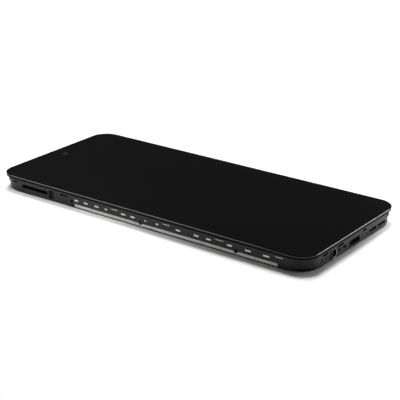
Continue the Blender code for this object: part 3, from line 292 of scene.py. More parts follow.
# Name, direction, distance, radius, radiance, and the point that the lamp is aimed at.
soft_lamps = (
    add_lamp("key_softbox", (0.35, 0.27, 0.88), 2.0, 0.42, 22.0),
    add_lamp("left_end_fill", (-0.06, 0.0, 1.0), 0.055, 0.01, 15.0, (-46 * MM, 78 * MM, 0.0)),
    add_lamp("left_fill", (-0.06, 0.0, 1.0), 0.05, 0.01, 13.0, (-50 * MM, 20 * MM, 0.0)),
    add_lamp("right_fill", (0.60, -0.60, 0.53), 1.5, 0.30, 3.2),
    add_lamp("right_end_fill", (0.1, -0.1, 1.0), 0.03, 0.01, 9.0, (40 * MM, -88 * MM, 0.0)),
)
for lamp in soft_lamps:
    lamp.visible_glossy = False
mirror_lamps = (
    add_lamp("far_left_lamp", (-0.15, 0.553, 0.81), 0.42, 0.14, 8.0, (-37 * MM, 55 * MM, 7 * MM)),
    add_lamp("low_left_lamp", (-0.80, 0.60, 0.10), 0.28, 0.07, 2.5, (-37 * MM, -45 * MM, 1 * MM)),
    add_lamp("right_lamp", (0.749, -0.37, 0.56), 1.0, 0.20, 20.0),
    add_lamp("low_right_lamp", (0.70, -0.70, 0.12), 1.0, 0.35, 5.5),
)
for lamp in mirror_lamps:
    lamp.visible_diffuse = False

world = bpy.data.worlds.new("dark_room")
world.use_nodes = True
world.node_tree.nodes["Background"].inputs["Color"].default_value = ROOM_COLOUR
bpy.context.scene.world = world
bpy.context.scene.view_settings.view_transform = "Standard"

# %% [markdown]
# ## Black cover glass
# The glass is clear, and looks black because its back is printed black round the border and the dark
# polarizer lies behind the rest. Clear glass over black could be traced as glass over a black sheet, but one
# black surface with the glass's own gloss looks the same and stays clean from every side. Very faint smears
# change the gloss, and the front camera's eye near the top shows as a slightly clearer disc in the print.

# %% Glass finish
GLASS_LOW, GLASS_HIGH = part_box("cover_glass")
EYE_Y = GLASS_HIGH.y - 7.5 * MM
EYE_RADIUS = 1.3 * MM
EYE_GREY = (0.048, 0.048, 0.049)
IRIS_BLACK = (0.006, 0.006, 0.008)
PRINT_BLACK = (0.0030, 0.0030, 0.0033)


def finish_glass():
    """Black gloss, with the eye's disc and its iris at their distances from the eye's axis."""
    glass = Finish("black_cover_glass", PRINT_BLACK, 0.05)
    smear = glass.grain(22 * MM, 4.0, glass.stretched(1.0, 0.45, 1.0))
    from_eye = glass.length(glass.along("X"), glass.maths("SUBTRACT", glass.along("Y"), EYE_Y))
    eye = glass.ranged(from_eye, EYE_RADIUS, 0.9 * EYE_RADIUS)
    iris = glass.ranged(from_eye, 0.45 * EYE_RADIUS, 0.35 * EYE_RADIUS)
    glass.surface({
        "Base Color": glass.between(iris, glass.between(eye, PRINT_BLACK, EYE_GREY), IRIS_BLACK),
        "Roughness": glass.ranged(smear, 0.35, 0.7, 0.04, 0.08),
        "IOR": 1.5,
    })
    return glass.material


GLASS = finish_glass()
print("glass finish:", GLASS.name)

# %% [markdown]
# ## Moulded black plastic
# The frame's plastic is filled with glass fibre and leaves the mould with a fine spark-eroded grain. The lip
# under the glass and the inside of every slot lie out of the light, so their plastic is given a darker,
# duller tone as painted shade, while the seat of the headphone jack is polished and given a pale colour as a
# painted highlight. All of it is one piece, so each kind of surface gets a finish of its own, and the piece's
# faces choose between them.

# %% Frame plastic finishes
PLASTIC_DARK = (0.0035, 0.0035, 0.0040)
PLASTIC_WORN = (0.0075, 0.0075, 0.0080)


def finish_frame_plastic():
    """Slow clouds between two blacks, under the fine grain of the mould."""
    plastic = Finish("frame_plastic", PLASTIC_DARK, 0.5)
    cloud = plastic.grain(5.0 * MM, 3.0, plastic.stretched(1.0, 0.5, 1.6))
    fibre = plastic.grain(0.12 * MM)
    plastic.surface({
        "Base Color": plastic.between(plastic.ranged(cloud, 0.3, 0.7), PLASTIC_DARK, PLASTIC_WORN),
        "Roughness": plastic.ranged(fibre, 0.2, 0.8, 0.42, 0.56),
        "Specular IOR Level": 0.31,
    })
    plastic.relief(fibre, 0.012 * MM)
    return plastic.material


def finish_rough_plastic(name, tone, gloss):
    """Plastic left as the cutter of the mould made it: dull. Given a tone darker than the wall's, as in the
    slots and the lip, it is painted shade.
    """
    plastic = Finish(name, (tone, tone, tone), 0.9)
    tooling = plastic.grain(0.2 * MM, 4.0)
    plastic.surface({
        "Base Color": plastic.between(tooling, (0.5 * tone,) * 3, (1.7 * tone,) * 3),
        "Roughness": plastic.ranged(tooling, 0.3, 0.7, 0.8, 0.98),
        "Specular IOR Level": gloss,
    })
    plastic.relief(tooling, 0.015 * MM)
    return plastic.material


def finish_jack_seat():
    """The polished seat of the headphone jack, painted pale as a painted highlight, with faint rings left by
    the turned mould pin.
    """
    seat = Finish("jack_seat_painted_highlight", (0.80, 0.80, 0.80), 0.3)
    wear = seat.grain(0.5 * MM)
    seat.surface({
        "Base Color": seat.between(wear, (0.74, 0.74, 0.74), (0.86, 0.86, 0.85)),
        "Roughness": seat.ranged(wear, 0.3, 0.7, 0.24, 0.40),
    })
    seat.relief(seat.ripples("Y", 0.12 * MM), 0.004 * MM)
    return seat.material


FRAME_PLASTIC = finish_frame_plastic()
# The slots and the lip get a plastic far darker than the wall's: painted shade.
SLOT_PAINTED_SHADE = finish_rough_plastic("slot_painted_shade", 0.0008, 0.08)
RECESS_PLASTIC = finish_rough_plastic("recess_plastic", 0.0035, 0.16)
# The jack's seat is painted pale on the black plastic: a painted highlight.
JACK_PAINTED_HIGHLIGHT = finish_jack_seat()
print("plastic finishes:", [m.name for m in (FRAME_PLASTIC, SLOT_PAINTED_SHADE, JACK_PAINTED_HIGHLIGHT, RECESS_PLASTIC)])

# %% [markdown]
# ## Cast metal
# The midplate is die cast. Its skin is grey and slightly cloudy where the melt ran, with fine pits. The strip
# along the foot and the lands in the wall's windows are cut bright after casting. The cutter went over the
# strip in several passes, and each pass ends in a faint line across it.

# %% Cast metal finish
CAST_GREY = (0.30, 0.296, 0.28)
CAST_PALE = (0.46, 0.45, 0.43)
LAND_BRIGHT = (0.50, 0.49, 0.47)
STRIP_BRIGHT = (0.56, 0.555, 0.535)
STRIP_DULL = 0.25
PASS_GREY = (0.08, 0.08, 0.075)
PASS_ENDS = (3.1 * MM, -5.7 * MM, -32.7 * MM, -59.6 * MM)
PASS_HALF = 0.05 * MM
PASS_SHARE = 0.6
CUT_FACE = 36.45 * MM
LAND_FOOT = 2.0 * MM


def finish_cast_metal():
    """Cast skin, but cut metal beyond CUT_FACE: the strip up to LAND_FOOT, and the lands above it."""
    metal = Finish("cast_metal", CAST_GREY, 0.42, 1.0)
    flow = metal.grain(9 * MM, 5.0, metal.stretched(1.0, 0.4, 1.0))
    lines = metal.grain(0.5 * MM, 2.0, metal.stretched(0.2, 6.0, 0.2))
    cut = metal.ranged(metal.maths("ABSOLUTE", metal.along("X")), CUT_FACE - 0.05 * MM, CUT_FACE)
    land = metal.both(cut, metal.ranged(metal.along("Z"), LAND_FOOT, LAND_FOOT + 0.2 * MM))
    ends = 0.0
    for station in PASS_ENDS:
        near_end = metal.within(metal.along("Y"), station - PASS_HALF, station + PASS_HALF, 2 * PASS_HALF)
        ends = metal.maths("ADD", ends, near_end)
    colour = metal.between(metal.ranged(flow, 0.3, 0.7), CAST_GREY, CAST_PALE)
    colour = metal.between(cut, colour, STRIP_BRIGHT)
    colour = metal.between(land, colour, LAND_BRIGHT)
    colour = metal.between(metal.both(cut, ends, PASS_SHARE), colour, PASS_GREY)
    strip = metal.maths("MULTIPLY", metal.maths("SUBTRACT", cut, land), STRIP_DULL)
    metal.surface({
        "Base Color": colour,
        "Roughness": metal.maths("ADD", metal.ranged(lines, 0.25, 0.75, 0.30, 0.46), strip),
    })
    pits = metal.maths("MULTIPLY", metal.cells(0.35 * MM), metal.maths("SUBTRACT", 1.0, cut))
    metal.relief(metal.maths("ADD", pits, metal.maths("MULTIPLY", lines, 0.4)), 0.010 * MM)
    return metal.material


CAST_METAL = finish_cast_metal()
print("metal finish:", CAST_METAL.name)

# %% [markdown]
# ## Finishes of the films, tapes and sheets
# Most sheets in the stack differ only in tone, gloss and the size of their grain. One recipe makes them all:
# a slow cloud of noise moves the colour between two tones, and a fine grain moves the gloss and the relief.
# Each sheet is then one row of a table, which is easier to compare and to change than eight small functions.

# %% The mottled recipe
# Dark tone, pale tone, lowest and highest roughness, and in mm the sizes of cloud and grain and the relief.
MOTTLED = {
    "clear_film": ((0.78, 0.82, 0.83), (0.84, 0.87, 0.88), 0.06, 0.12, 9.0, 0.6, 0.001),
    "polarizer": ((0.045, 0.045, 0.055), (0.060, 0.058, 0.070), 0.08, 0.16, 7.0, 0.5, 0.001),
    "cell_glass": ((0.27, 0.33, 0.31), (0.33, 0.39, 0.36), 0.04, 0.10, 12.0, 0.8, 0.001),
    "silicon": ((0.050, 0.050, 0.060), (0.075, 0.073, 0.090), 0.18, 0.28, 2.0, 0.08, 0.001),
    "white_film": ((0.83, 0.84, 0.85), (0.88, 0.89, 0.89), 0.35, 0.50, 6.0, 0.15, 0.002),
    "white_plastic": ((0.79, 0.80, 0.79), (0.84, 0.85, 0.84), 0.38, 0.55, 4.0, 0.2, 0.006),
    "black_tape": ((0.010, 0.010, 0.010), (0.018, 0.018, 0.018), 0.55, 0.75, 3.0, 0.1, 0.006),
    "connector_plastic": ((0.014, 0.014, 0.014), (0.022, 0.022, 0.022), 0.34, 0.48, 1.0, 0.08, 0.004),
}


def finish_mottled(name, dark, pale, smooth, rough, cloud, grain, depth):
    """A finish between two tones and two roughnesses, with a fine relief."""
    finish = Finish(name, dark, smooth)
    drift = finish.ranged(finish.grain(cloud * MM, 4.0), 0.3, 0.7)
    fine = finish.grain(grain * MM)
    finish.surface({
        "Base Color": finish.between(drift, dark, pale),
        "Roughness": finish.ranged(fine, 0.25, 0.75, smooth, rough),
    })
    finish.relief(fine, depth * MM)
    return finish.material


FINISHES = {name: finish_mottled(name, *recipe) for name, recipe in MOTTLED.items()}
print("mottled finishes:", sorted(FINISHES))

# %% [markdown]
# ## Prism film, pressed steel and graphite
# Prism film has fine ribs that turn the light upwards, pressed steel keeps the lines of the rolling mill, and
# rolled graphite shows a fine cross hatch. Each pattern is worked out from coordinates or stretched noise, so
# no picture of a material is needed, and it stays sharp however close the camera comes.

# %% Ribs, rolling lines and hatch
def finish_prism_film():
    """Ribs across the film, as ripples of the relief."""
    film = Finish("prism_film", (0.74, 0.77, 0.79), 0.12)
    film.surface({"Base Color": film.between(film.grain(8 * MM), (0.70, 0.73, 0.76), (0.79, 0.82, 0.84))})
    film.relief(film.ripples("X", 0.05 * MM), 0.01 * MM)
    return film.material


def finish_pressed_steel():
    """Noise stretched along the sheet into rolling lines, over faint stains."""
    steel = Finish("pressed_steel", (0.58, 0.58, 0.56), 0.3, 1.0)
    mill = steel.grain(0.4 * MM, 3.0, steel.stretched(1.0, 0.03, 1.0))
    stain = steel.ranged(steel.grain(7 * MM, 4.0), 0.3, 0.7)
    steel.surface({
        "Base Color": steel.between(stain, (0.50, 0.50, 0.485), (0.62, 0.62, 0.60)),
        "Roughness": steel.ranged(mill, 0.3, 0.7, 0.24, 0.42),
    })
    steel.relief(mill, 0.003 * MM)
    return steel.material


def finish_graphite():
    """Dark flakes under a cross hatch, the product of two sets of ripples."""
    sheet = Finish("graphite", (0.045, 0.045, 0.050), 0.38)
    hatch = sheet.both(sheet.ripples("X", 0.5 * MM), sheet.ripples("Y", 0.5 * MM))
    flake = sheet.ranged(sheet.grain(0.6 * MM, 5.0), 0.35, 0.65)
    sheet.surface({
        "Base Color": sheet.between(flake, (0.034, 0.034, 0.038), (0.062, 0.062, 0.066)),
        "Roughness": sheet.ranged(hatch, 0.0, 1.0, 0.30, 0.48),
    })
    sheet.relief(hatch, 0.006 * MM)
    return sheet.material


FINISHES["prism_film"] = finish_prism_film()
FINISHES["pressed_steel"] = finish_pressed_steel()
FINISHES["graphite"] = finish_graphite()
print("finishes so far:", len(FINISHES))

# %% [markdown]
# ## Foam, fabric and wire cloth
# Foam has open pores, and a pattern of scattered points places them; the pores are painted darker, as painted
# shade. The grounding pads are wrapped in metallised fabric, and the dust meshes are blackened wire cloth.
# Both are plain weaves, so one function makes them: where ripples across and ripples along are both high, a
# thread lies on top and is painted paler as a painted highlight, with painted shade in the gaps between.

# %% Pores and weaves
def finish_foam():
    """Pores that are deepest at scattered points, and painted darkest there as painted shade."""
    foam = Finish("black_foam", (0.020, 0.020, 0.020), 0.9)
    pores = foam.cells(0.16 * MM)
    skin = foam.ranged(pores, 0.1, 0.5)
    foam.surface({"Base Color": foam.between(skin, (0.008, 0.008, 0.008), (0.030, 0.030, 0.030))})
    foam.relief(pores, 0.05 * MM)
    return foam.material


def finish_weave(name, colour, pale, pitch, across, along, roughness, metallic):
    """A plain weave: the product of two sets of ripples, one across and one along. Raised threads are painted
    paler as a painted highlight, and the gaps darker as painted shade.
    """
    cloth = Finish(name, colour, roughness, metallic)
    weave = cloth.both(cloth.ripples(across, pitch), cloth.ripples(along, pitch))
    wear = cloth.grain(1.5 * MM)
    cloth.surface({
        "Base Color": cloth.between(cloth.ranged(weave, 0.0, 0.8), colour, pale),
        "Roughness": cloth.ranged(wear, 0.3, 0.7, roughness - 0.06, roughness + 0.08),
    })
    cloth.relief(weave, 0.03 * MM)
    return cloth.material


FINISHES["black_foam"] = finish_foam()
FINISHES["conductive_foam"] = finish_weave(
    "conductive_foam", (0.20, 0.20, 0.195), (0.42, 0.42, 0.41), 0.22 * MM, "X", "Y", 0.5, 0.7)
FINISHES["black_mesh"] = finish_weave(
    "black_mesh", (0.012, 0.012, 0.012), (0.045, 0.045, 0.045), 0.25 * MM, "X", "Z", 0.45, 0.8)
print("finishes so far:", len(FINISHES))

# %% [markdown]
# ## Brass and flexible circuit
# Turned brass has fine rings from the lathe's tool, one above the other. The flex is amber film over copper:
# its traces run along it in the tail, and show through the film as paler lines that stand up a little.

# %% Rings and traces
def finish_brass():
    """Tarnish between two yellows, with the tool's rings as a relief."""
    brass = Finish("brass", (0.66, 0.48, 0.21), 0.28, 1.0)
    tarnish = brass.grain(1.2 * MM, 4.0)
    brass.surface({
        "Base Color": brass.between(brass.ranged(tarnish, 0.35, 0.7), (0.70, 0.52, 0.24), (0.55, 0.38, 0.16)),
        "Roughness": brass.ranged(tarnish, 0.3, 0.7, 0.22, 0.36),
    })
    brass.relief(brass.ripples("Z", 0.09 * MM), 0.004 * MM)
    return brass.material


def finish_flex():
    """Amber film, and copper traces where the ripples across it are high."""
    flex = Finish("flex_circuit", (0.16, 0.07, 0.02), 0.35)
    traces = flex.ranged(flex.ripples("X", 0.44 * MM), 0.35, 0.55)
    cloud = flex.grain(3.0 * MM)
    amber = flex.between(flex.ranged(cloud, 0.3, 0.7), (0.13, 0.052, 0.014), (0.18, 0.080, 0.024))
    flex.surface({
        "Base Color": flex.between(traces, amber, (0.36, 0.17, 0.05)),
        "Roughness": flex.ranged(cloud, 0.3, 0.7, 0.26, 0.40),
    })
    flex.relief(traces, 0.012 * MM)
    return flex.material


FINISHES["brass"] = finish_brass()
FINISHES["flex_circuit"] = finish_flex()
print("finishes:", len(FINISHES))

# %% [markdown]
# ## Dress the solids
# The record names a material slot for every solid. Solids that are seen from close by are replaced by fine
# pieces further down. All the others keep their shape, and the slot's finish goes on them here.

# %% Solids and their finishes
SOLIDS_WITH = {
    "clear_film": ("optical_adhesive", "light_guide_plate"),
    "polarizer": ("front_polarizer", "rear_polarizer"),
    "cell_glass": ("color_filter_glass", "tft_glass"),
    "silicon": ("display_driver_chip",),
    "prism_film": ("upper_prism_sheet", "lower_prism_sheet"),
    "white_film": ("diffuser_sheet", "reflector_sheet"),
    "white_plastic": ("backlight_frame",),
    "flex_circuit": ("led_light_bar", "main_display_flex"),
    "pressed_steel": ("backlight_metal_shell", "flex_stiffener"),
    "black_tape": ("shading_tape", "glass_bond_tape"),
    "black_foam": ("module_foam_tape", "front_camera_gasket"),
    "connector_plastic": ("flex_connector",),
    "graphite": ("graphite_sheet",),
    "black_mesh": ("earpiece_mesh", "speaker_mesh"),
    "conductive_foam": ("grounding_foam_1", "grounding_foam_2"),
    "brass": tuple(f"screw_insert_{number}" for number in range(1, 8)),
}
for slot, solids in SOLIDS_WITH.items():
    for solid in solids:
        for material_slot in NODES[solid].material_slots:
            material_slot.material = FINISHES[slot]
print("dressed solids:", sum(len(solids) for solids in SOLIDS_WITH.values()))

# %% [markdown]
# ## Helpers for pieces
# Flat pieces with round corners and turned pieces have one thing in common: their points form a grid, where
# each row is one outline. So a function gives the outline, another one joins the points of any grid to
# faces, and a third one makes a shaded piece of them. Points and faces are worked out as whole arrays, which
# is quick and leaves nothing to be placed by hand.

# %% Outlines, grids and stacks of rings
def rounded_outline(half_x, half_y, radius, steps):
    """Outline of a rectangle with round corners, as an array of x and y.

    At each corner the angle runs through a quarter turn, and the point is the corner's centre plus
    radius times (cos angle, sin angle).
    """
    angles = np.linspace(0.0, math.pi / 2, steps)
    turns = np.concatenate([angles + quarter * math.pi / 2 for quarter in range(4)])
    sides = np.repeat(np.array([[1, 1], [-1, 1], [-1, -1], [1, -1]]), steps, axis=0)
    centres = sides * np.array([half_x - radius, half_y - radius])
    return centres + radius * np.stack([np.cos(turns), np.sin(turns)], axis=1)


def grid_faces(rows, columns, closed_rows=False, closed_columns=False):
    """Quads of a grid of points, row after row, joined end to start where it is closed."""
    row = np.arange(rows if closed_rows else rows - 1)[:, None]
    column = np.arange(columns if closed_columns else columns - 1)[None, :]
    next_row = (row + 1) % rows
    next_column = (column + 1) % columns
    corners = [(row, column), (row, next_column), (next_row, next_column), (next_row, column)]
    return np.stack([r * columns + c for r, c in corners], axis=-1).reshape(-1, 4)


def make_piece(name, points, faces, material, sharp_angle=40.0):
    """A piece at the origin from arrays of points and faces, shaded smooth with its sharp edges kept."""
    mesh = bpy.data.meshes.new(name)
    mesh.from_pydata(np.asarray(points).tolist(), [], [list(face) for face in faces])
    mesh.materials.append(material)
    mesh.shade_smooth()
    mesh.set_sharp_from_angle(angle=math.radians(sharp_angle))
    piece = bpy.data.objects.new(name, mesh)
    bpy.context.scene.collection.objects.link(piece)
    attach(piece, "root")
    return piece


def stacked(name, low, high, radius, inwards, heights, material, corner_steps):
    """Rings of a rounded outline between low and high, each moved inwards and raised, with closed ends."""
    centre = (np.array(low) + np.array(high)) / 2
    half = (np.array(high) - np.array(low)) / 2
    rings = []
    for distance, height in zip(inwards, heights):
        outline = rounded_outline(half[0] - distance, half[1] - distance, radius - distance, corner_steps)
        rings.append(np.column_stack([outline + centre[:2], np.full(len(outline), height)]))
    count = len(rings[0])
    faces = grid_faces(len(rings), count, closed_columns=True).tolist()
    faces.append(range(count)[::-1])
    faces.append(range(count * (len(rings) - 1), count * len(rings)))
    return make_piece(name, np.concatenate(rings), faces, material)


print("helpers for pieces ready")

# %% [markdown]
# ## The fine cover glass
# CAD gives the glass four steps round its curved edge. Here the same edge is a smooth ring: every ring of the
# mesh is the glass's outline moved inwards by some distance and raised to some height. Two arrays, one of
# distances and one of heights, describe the whole cross-section. Over the edge they follow a quarter ellipse,
# which is how such glass is ground.

# %% Cover glass piece
GLASS_RADIUS = 8.5 * MM
EDGE_RUN = 0.75 * MM
EDGE_DROP = 0.19 * MM
EDGE_CHAMFER = 0.08 * MM
FLAT_RING = 0.5 * MM
EDGE_STEPS = 15
CORNER_STEPS = 32

turn = np.linspace(0.0, math.pi / 2, EDGE_STEPS)
edge_in = EDGE_RUN * (1 - np.cos(turn))
edge_up = GLASS_HIGH.z - EDGE_DROP + EDGE_DROP * np.sin(turn)
glass_piece = stacked(
    "cover_glass_fine", GLASS_LOW, GLASS_HIGH, GLASS_RADIUS,
    np.concatenate([[3 * EDGE_CHAMFER, EDGE_CHAMFER, 0.0], edge_in, [EDGE_RUN + FLAT_RING]]),
    np.concatenate([[GLASS_LOW.z, GLASS_LOW.z, GLASS_LOW.z + EDGE_CHAMFER], edge_up, [GLASS_HIGH.z]]),
    GLASS, CORNER_STEPS,
)
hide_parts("cover_glass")
print("cover glass faces:", len(glass_piece.data.polygons))

# %% [markdown]
# ## Smooth copies of frame, midplate, flex and shell
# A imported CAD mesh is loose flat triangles, so its round corners show their facets. A copy with its doubles
# merged can be shaded smooth between its sharp edges. Only points and triangles go into the copy, because the
# stored normals of the loose triangles would spoil the shading.

# %% Copies of CAD nodes
MERGE_DISTANCE = 0.0005 * MM
COPY_SHARP_ANGLE = 30.0


def smooth_copy(node, material):
    """A merged copy of a CAD node that stands for it."""
    bm = bmesh.new()
    bm.from_mesh(NODES[node].data)
    bmesh.ops.remove_doubles(bm, verts=bm.verts, dist=MERGE_DISTANCE)
    bm.verts.index_update()
    points = [vertex.co[:] for vertex in bm.verts]
    faces = [[vertex.index for vertex in face.verts] for face in bm.faces]
    bm.free()
    piece = make_piece(node + "_fine", points, faces, material, COPY_SHARP_ANGLE)
    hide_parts(node)
    return piece


frame_piece = smooth_copy("plastic_frame", FRAME_PLASTIC)
metal_piece = smooth_copy("metal_midplate", CAST_METAL)
flex_piece = smooth_copy("main_display_flex", FINISHES["flex_circuit"])
shell_piece = smooth_copy("backlight_metal_shell", FINISHES["pressed_steel"])
print("copies:", [piece.name for piece in (frame_piece, metal_piece, flex_piece, shell_piece)])

# %% [markdown]
# ## Which face of the frame gets which finish
# The frame's four finishes are chosen face by face, from arrays of the faces' centres and normals. A face
# belongs to a slot when its centre lies within the thickness of a wall, between the outer skin and the inner
# one, and it is square to that wall, as the skin of a round corner is not. The jack's seat is found by the
# distance from its axis, and the lip by its height. The shallow recess on the left side has the fourth
# finish.

# %% Faces of slots, lip, jack seat and recess
SLOT_BOTTOM = 0.3 * MM
LIP_BOTTOM = GLASS_LOW.z - 0.74 * MM
SIDE_FACE = 36.80 * MM
SIDE_WALL = 0.95 * MM
SIDE_REACH = 76.5 * MM
END_FACE = 83.93 * MM
END_WALL = 1.30 * MM
END_REACH = 29.0 * MM
RECESS_Y = 52.0 * MM
RECESS_HALF = 1.4 * MM
JACK_X = -16.0 * MM
PORT_Z = 2.6 * MM
JACK_BORE_RADIUS = 1.80 * MM
JACK_RIM_RADIUS = 2.15 * MM
NEAR = 0.02 * MM
ALONG_WALL = 0.05
ACROSS_WALL = 0.999


def finish_faces(piece):
    """Sets each face's finish: 0 moulded skin, 1 slots and lip in painted shade, 2 the jack's seat as a
    painted highlight, 3 the side's recess.

    A face is square to a wall when the part of its normal across the wall is almost nothing or almost all.
    """
    mesh = piece.data
    centres, normals = np.empty(3 * len(mesh.polygons)), np.empty(3 * len(mesh.polygons))
    mesh.polygons.foreach_get("center", centres)
    mesh.polygons.foreach_get("normal", normals)
    x, y, z = centres.reshape(-1, 3).T
    facing_x, facing_y = np.abs(normals.reshape(-1, 3)[:, :2]).T
    square_x = (facing_x < ALONG_WALL) | (facing_x > ACROSS_WALL)
    square_y = (facing_y < ALONG_WALL) | (facing_y > ACROSS_WALL)
    inner_side, inner_end = SIDE_FACE - SIDE_WALL + NEAR, END_FACE - END_WALL + NEAR
    in_side = (np.abs(x) > inner_side) & (np.abs(x) < SIDE_FACE - NEAR) & (np.abs(y) < SIDE_REACH)
    in_end = (np.abs(y) > inner_end) & (np.abs(y) < END_FACE - NEAR) & (np.abs(x) < END_REACH)
    in_recess = in_side & square_x & (x < 0.0) & (np.abs(y - RECESS_Y) < RECESS_HALF)
    in_wall = (in_side & square_x & ~in_recess) | (in_end & square_y)
    in_slot = in_wall & (z > SLOT_BOTTOM) & (z < LIP_BOTTOM - NEAR)
    from_jack = np.hypot(x - JACK_X, z - PORT_Z)
    in_highlight_seat = (from_jack > JACK_BORE_RADIUS + NEAR) & (from_jack < JACK_RIM_RADIUS + NEAR)
    # Slots and lip take the darker plastic, which is painted shade.
    finish = np.where(in_slot | (z > LIP_BOTTOM + NEAR), 1, 0)
    # The jack's seat takes the pale painted highlight.
    finish[in_end & in_highlight_seat & (y < 0.0)] = 2
    finish[in_recess] = 3
    mesh.polygons.foreach_set("material_index", finish.astype(np.int32))
    mesh.update()
    return np.bincount(finish)


for material in (SLOT_PAINTED_SHADE, JACK_PAINTED_HIGHLIGHT, RECESS_PLASTIC):
    frame_piece.data.materials.append(material)
print("faces of skin, slots, jack seat and recess:", finish_faces(frame_piece))

# %% [markdown]
# ## Pockets of the bottom wall
# The latches of the back cover leave small pockets in the bottom wall. From a metre away each is only a dark
# dash, and the edges of the plastic catch no light, so the dash looks a little larger than the pocket. Here
# the mouths open outwards by one or two tenths of a millimetre, by the same arithmetic for every one.

# %% Widen the pockets
POCKET_FLOOR = 83.10 * MM
# The middle, the distance of the edges from it, and how many times as far they lie afterwards.
UPPER_POCKETS = (4.75 * MM, 0.35 * MM, 1.35)
LOWER_POCKETS = (2.95 * MM, 0.40 * MM, 1.30)
JACK_GROOVE = (-19.1 * MM, 0.35 * MM, 1.50)


def points_of(piece):
    """The x, y and z of a piece's points, as three arrays."""
    points = np.empty(3 * len(piece.data.vertices))
    piece.data.vertices.foreach_get("co", points)
    return points.reshape(-1, 3).T


def move_points(piece, x, y, z):
    """Puts the piece's points where three arrays say."""
    piece.data.vertices.foreach_set("co", np.stack([x, y, z], axis=1).ravel())
    piece.data.update()


def stretched_about(values, middle, half, share, where):
    """Values at the distance half from the middle, moved to share times that distance."""
    at_edge = where & (np.abs(np.abs(values - middle) - half) < NEAR)
    return np.where(at_edge, middle + (values - middle) * share, values)


def widen_pockets(piece):
    """Moves the edges of pockets and groove away from their middles, and leaves the jack as it is."""
    x, y, z = points_of(piece)
    jack = np.hypot(x - JACK_X, z - PORT_Z) < JACK_RIM_RADIUS + NEAR
    where = (y < -POCKET_FLOOR) & (np.abs(x) < END_REACH) & ~jack
    higher = stretched_about(stretched_about(z, *UPPER_POCKETS, where), *LOWER_POCKETS, where)
    wider = stretched_about(x, *JACK_GROOVE, where)
    move_points(piece, wider, y, higher)
    return int((higher != z).sum()), int((wider != x).sum())


print("points of the pockets and the groove moved:", widen_pockets(frame_piece))

# %% [markdown]
# ## The foot of the frame
# The display stands on the rails of its long sides. At both ends and round the corners the plastic's foot is
# drawn up a little, so the shadow there begins under the wall. CAD has the same chamfered foot all the way
# round at one height, and here only the two outer rings of its points are lifted.

# %% Lift the foot at the ends
CORNER_X = 26.2 * MM
CORNER_Y = 73.3 * MM
FOOT_TOP = 0.25 * MM
END_LIFT = 0.35 * MM
CORNER_LIFT = 0.90 * MM
RIM_FINE_RADIUS = 1.95 * MM


def lift_foot(piece):
    """Lifts the foot's outer points by END_LIFT times sin(a) plus CORNER_LIFT times sin(2a).

    The angle a is the direction from the centre of a corner's arc: 0 on a long side, a quarter turn on an
    end. The chamfer under the wall closes at the same time, by the square root of sin(a), so the lifted foot
    has a crisp lower edge. The jack's rim is drawn in to RIM_FINE_RADIUS, so that the foot passes under it.
    """
    x, y, z = points_of(piece)
    from_jack = np.hypot(x - JACK_X, z - PORT_Z)
    rim = (np.abs(from_jack - JACK_RIM_RADIUS) < NEAR) & (y < NEAR - END_FACE)
    shrink = np.where(rim, RIM_FINE_RADIUS / JACK_RIM_RADIUS, 1.0)
    x, z = JACK_X + (x - JACK_X) * shrink, PORT_Z + (z - PORT_Z) * shrink
    over_x, over_y = np.maximum(np.abs(x) - CORNER_X, 0.0), np.maximum(np.abs(y) - CORNER_Y, 0.0)
    from_corner = np.hypot(over_x, over_y)
    angle = np.arctan2(over_y, over_x)
    near_skin = from_corner > SIDE_FACE - CORNER_X - 2 * FOOT_TOP
    outer = (z < FOOT_TOP + NEAR) & near_skin & (over_y > 0.0)
    closed = np.sqrt(np.sin(angle)) * np.maximum(FOOT_TOP - z, 0.0)
    lift = closed + END_LIFT * np.sin(angle) + CORNER_LIFT * np.sin(2 * angle)
    move_points(piece, x, y, z + np.where(outer, lift, 0.0))
    return int(outer.sum()), int(rim.sum())


print("points of the foot and the rim moved:", lift_foot(frame_piece))

# %% [markdown]
# ## Fresh triangles for the bottom wall
# The bottom wall's skin is one flat sheet with many holes, and CAD cut it into long thin triangles. Now that
# the mouths of its pockets have moved, some of those slivers would fold over their neighbours. So the flat
# faces are taken out, and the border that stays, with all its holes, is filled again. The wall stands in two
# planes, because its upper part is a twentieth of a millimetre prouder than its lower part.

# %% Fill the bottom wall again
UPPER_STEP = 0.05 * MM
IN_PLANE = 0.002 * MM


def refill_wall(piece, station):
    """Replaces the faces in the plane y = -station, and counts old faces, new faces and open edges."""
    bm = bmesh.new()
    bm.from_mesh(piece.data)
    flat = {face for face in bm.faces if all(abs(vert.co.y + station) < IN_PLANE for vert in face.verts)}
    border = [edge for edge in bm.edges if sum(face in flat for face in edge.link_faces) == 1]
    bmesh.ops.delete(bm, geom=list(flat), context="FACES")
    fill = bmesh.ops.triangle_fill(bm, use_beauty=True, edges=border, normal=(0.0, -1.0, 0.0))
    new = [item for item in fill["geom"] if isinstance(item, bmesh.types.BMFace)]
    bm.normal_update()
    for face in new:
        face.smooth = True
        if face.normal.y > 0.0:
            face.normal_flip()
    open_edges = sum(not edge.is_manifold for edge in bm.edges)
    bm.to_mesh(piece.data)
    bm.free()
    return len(flat), len(new), open_edges


for station in (END_FACE, END_FACE + UPPER_STEP):
    print("old faces, new faces, open edges:", refill_wall(frame_piece, station))

# %% [markdown]
# ## Threaded inserts
# Seven brass inserts are pressed into the frame's plastic bosses for the screws of the boards. Each is a
# turned piece, so its shape is a closed profile of radius and height, carried round the insert's axis. The
# thread is cut as rings, which look the same as a helix at this size and keep the profile closed.

# %% Insert pieces
INSERT_RADIUS = 1.3 * MM
INSERT_CHAMFER = 0.12 * MM
KNURL_DEPTH = 0.06 * MM
KNURL_GROOVE = ((0.30, 0.0), (0.36, KNURL_DEPTH), (0.44, KNURL_DEPTH), (0.50, 0.0))
BORE_RADIUS = 0.7 * MM
BORE_CHAMFER = 0.15 * MM
THREAD_DEPTH = 0.09 * MM
THREAD_PITCH = 0.3 * MM
TURN_STEPS = 40


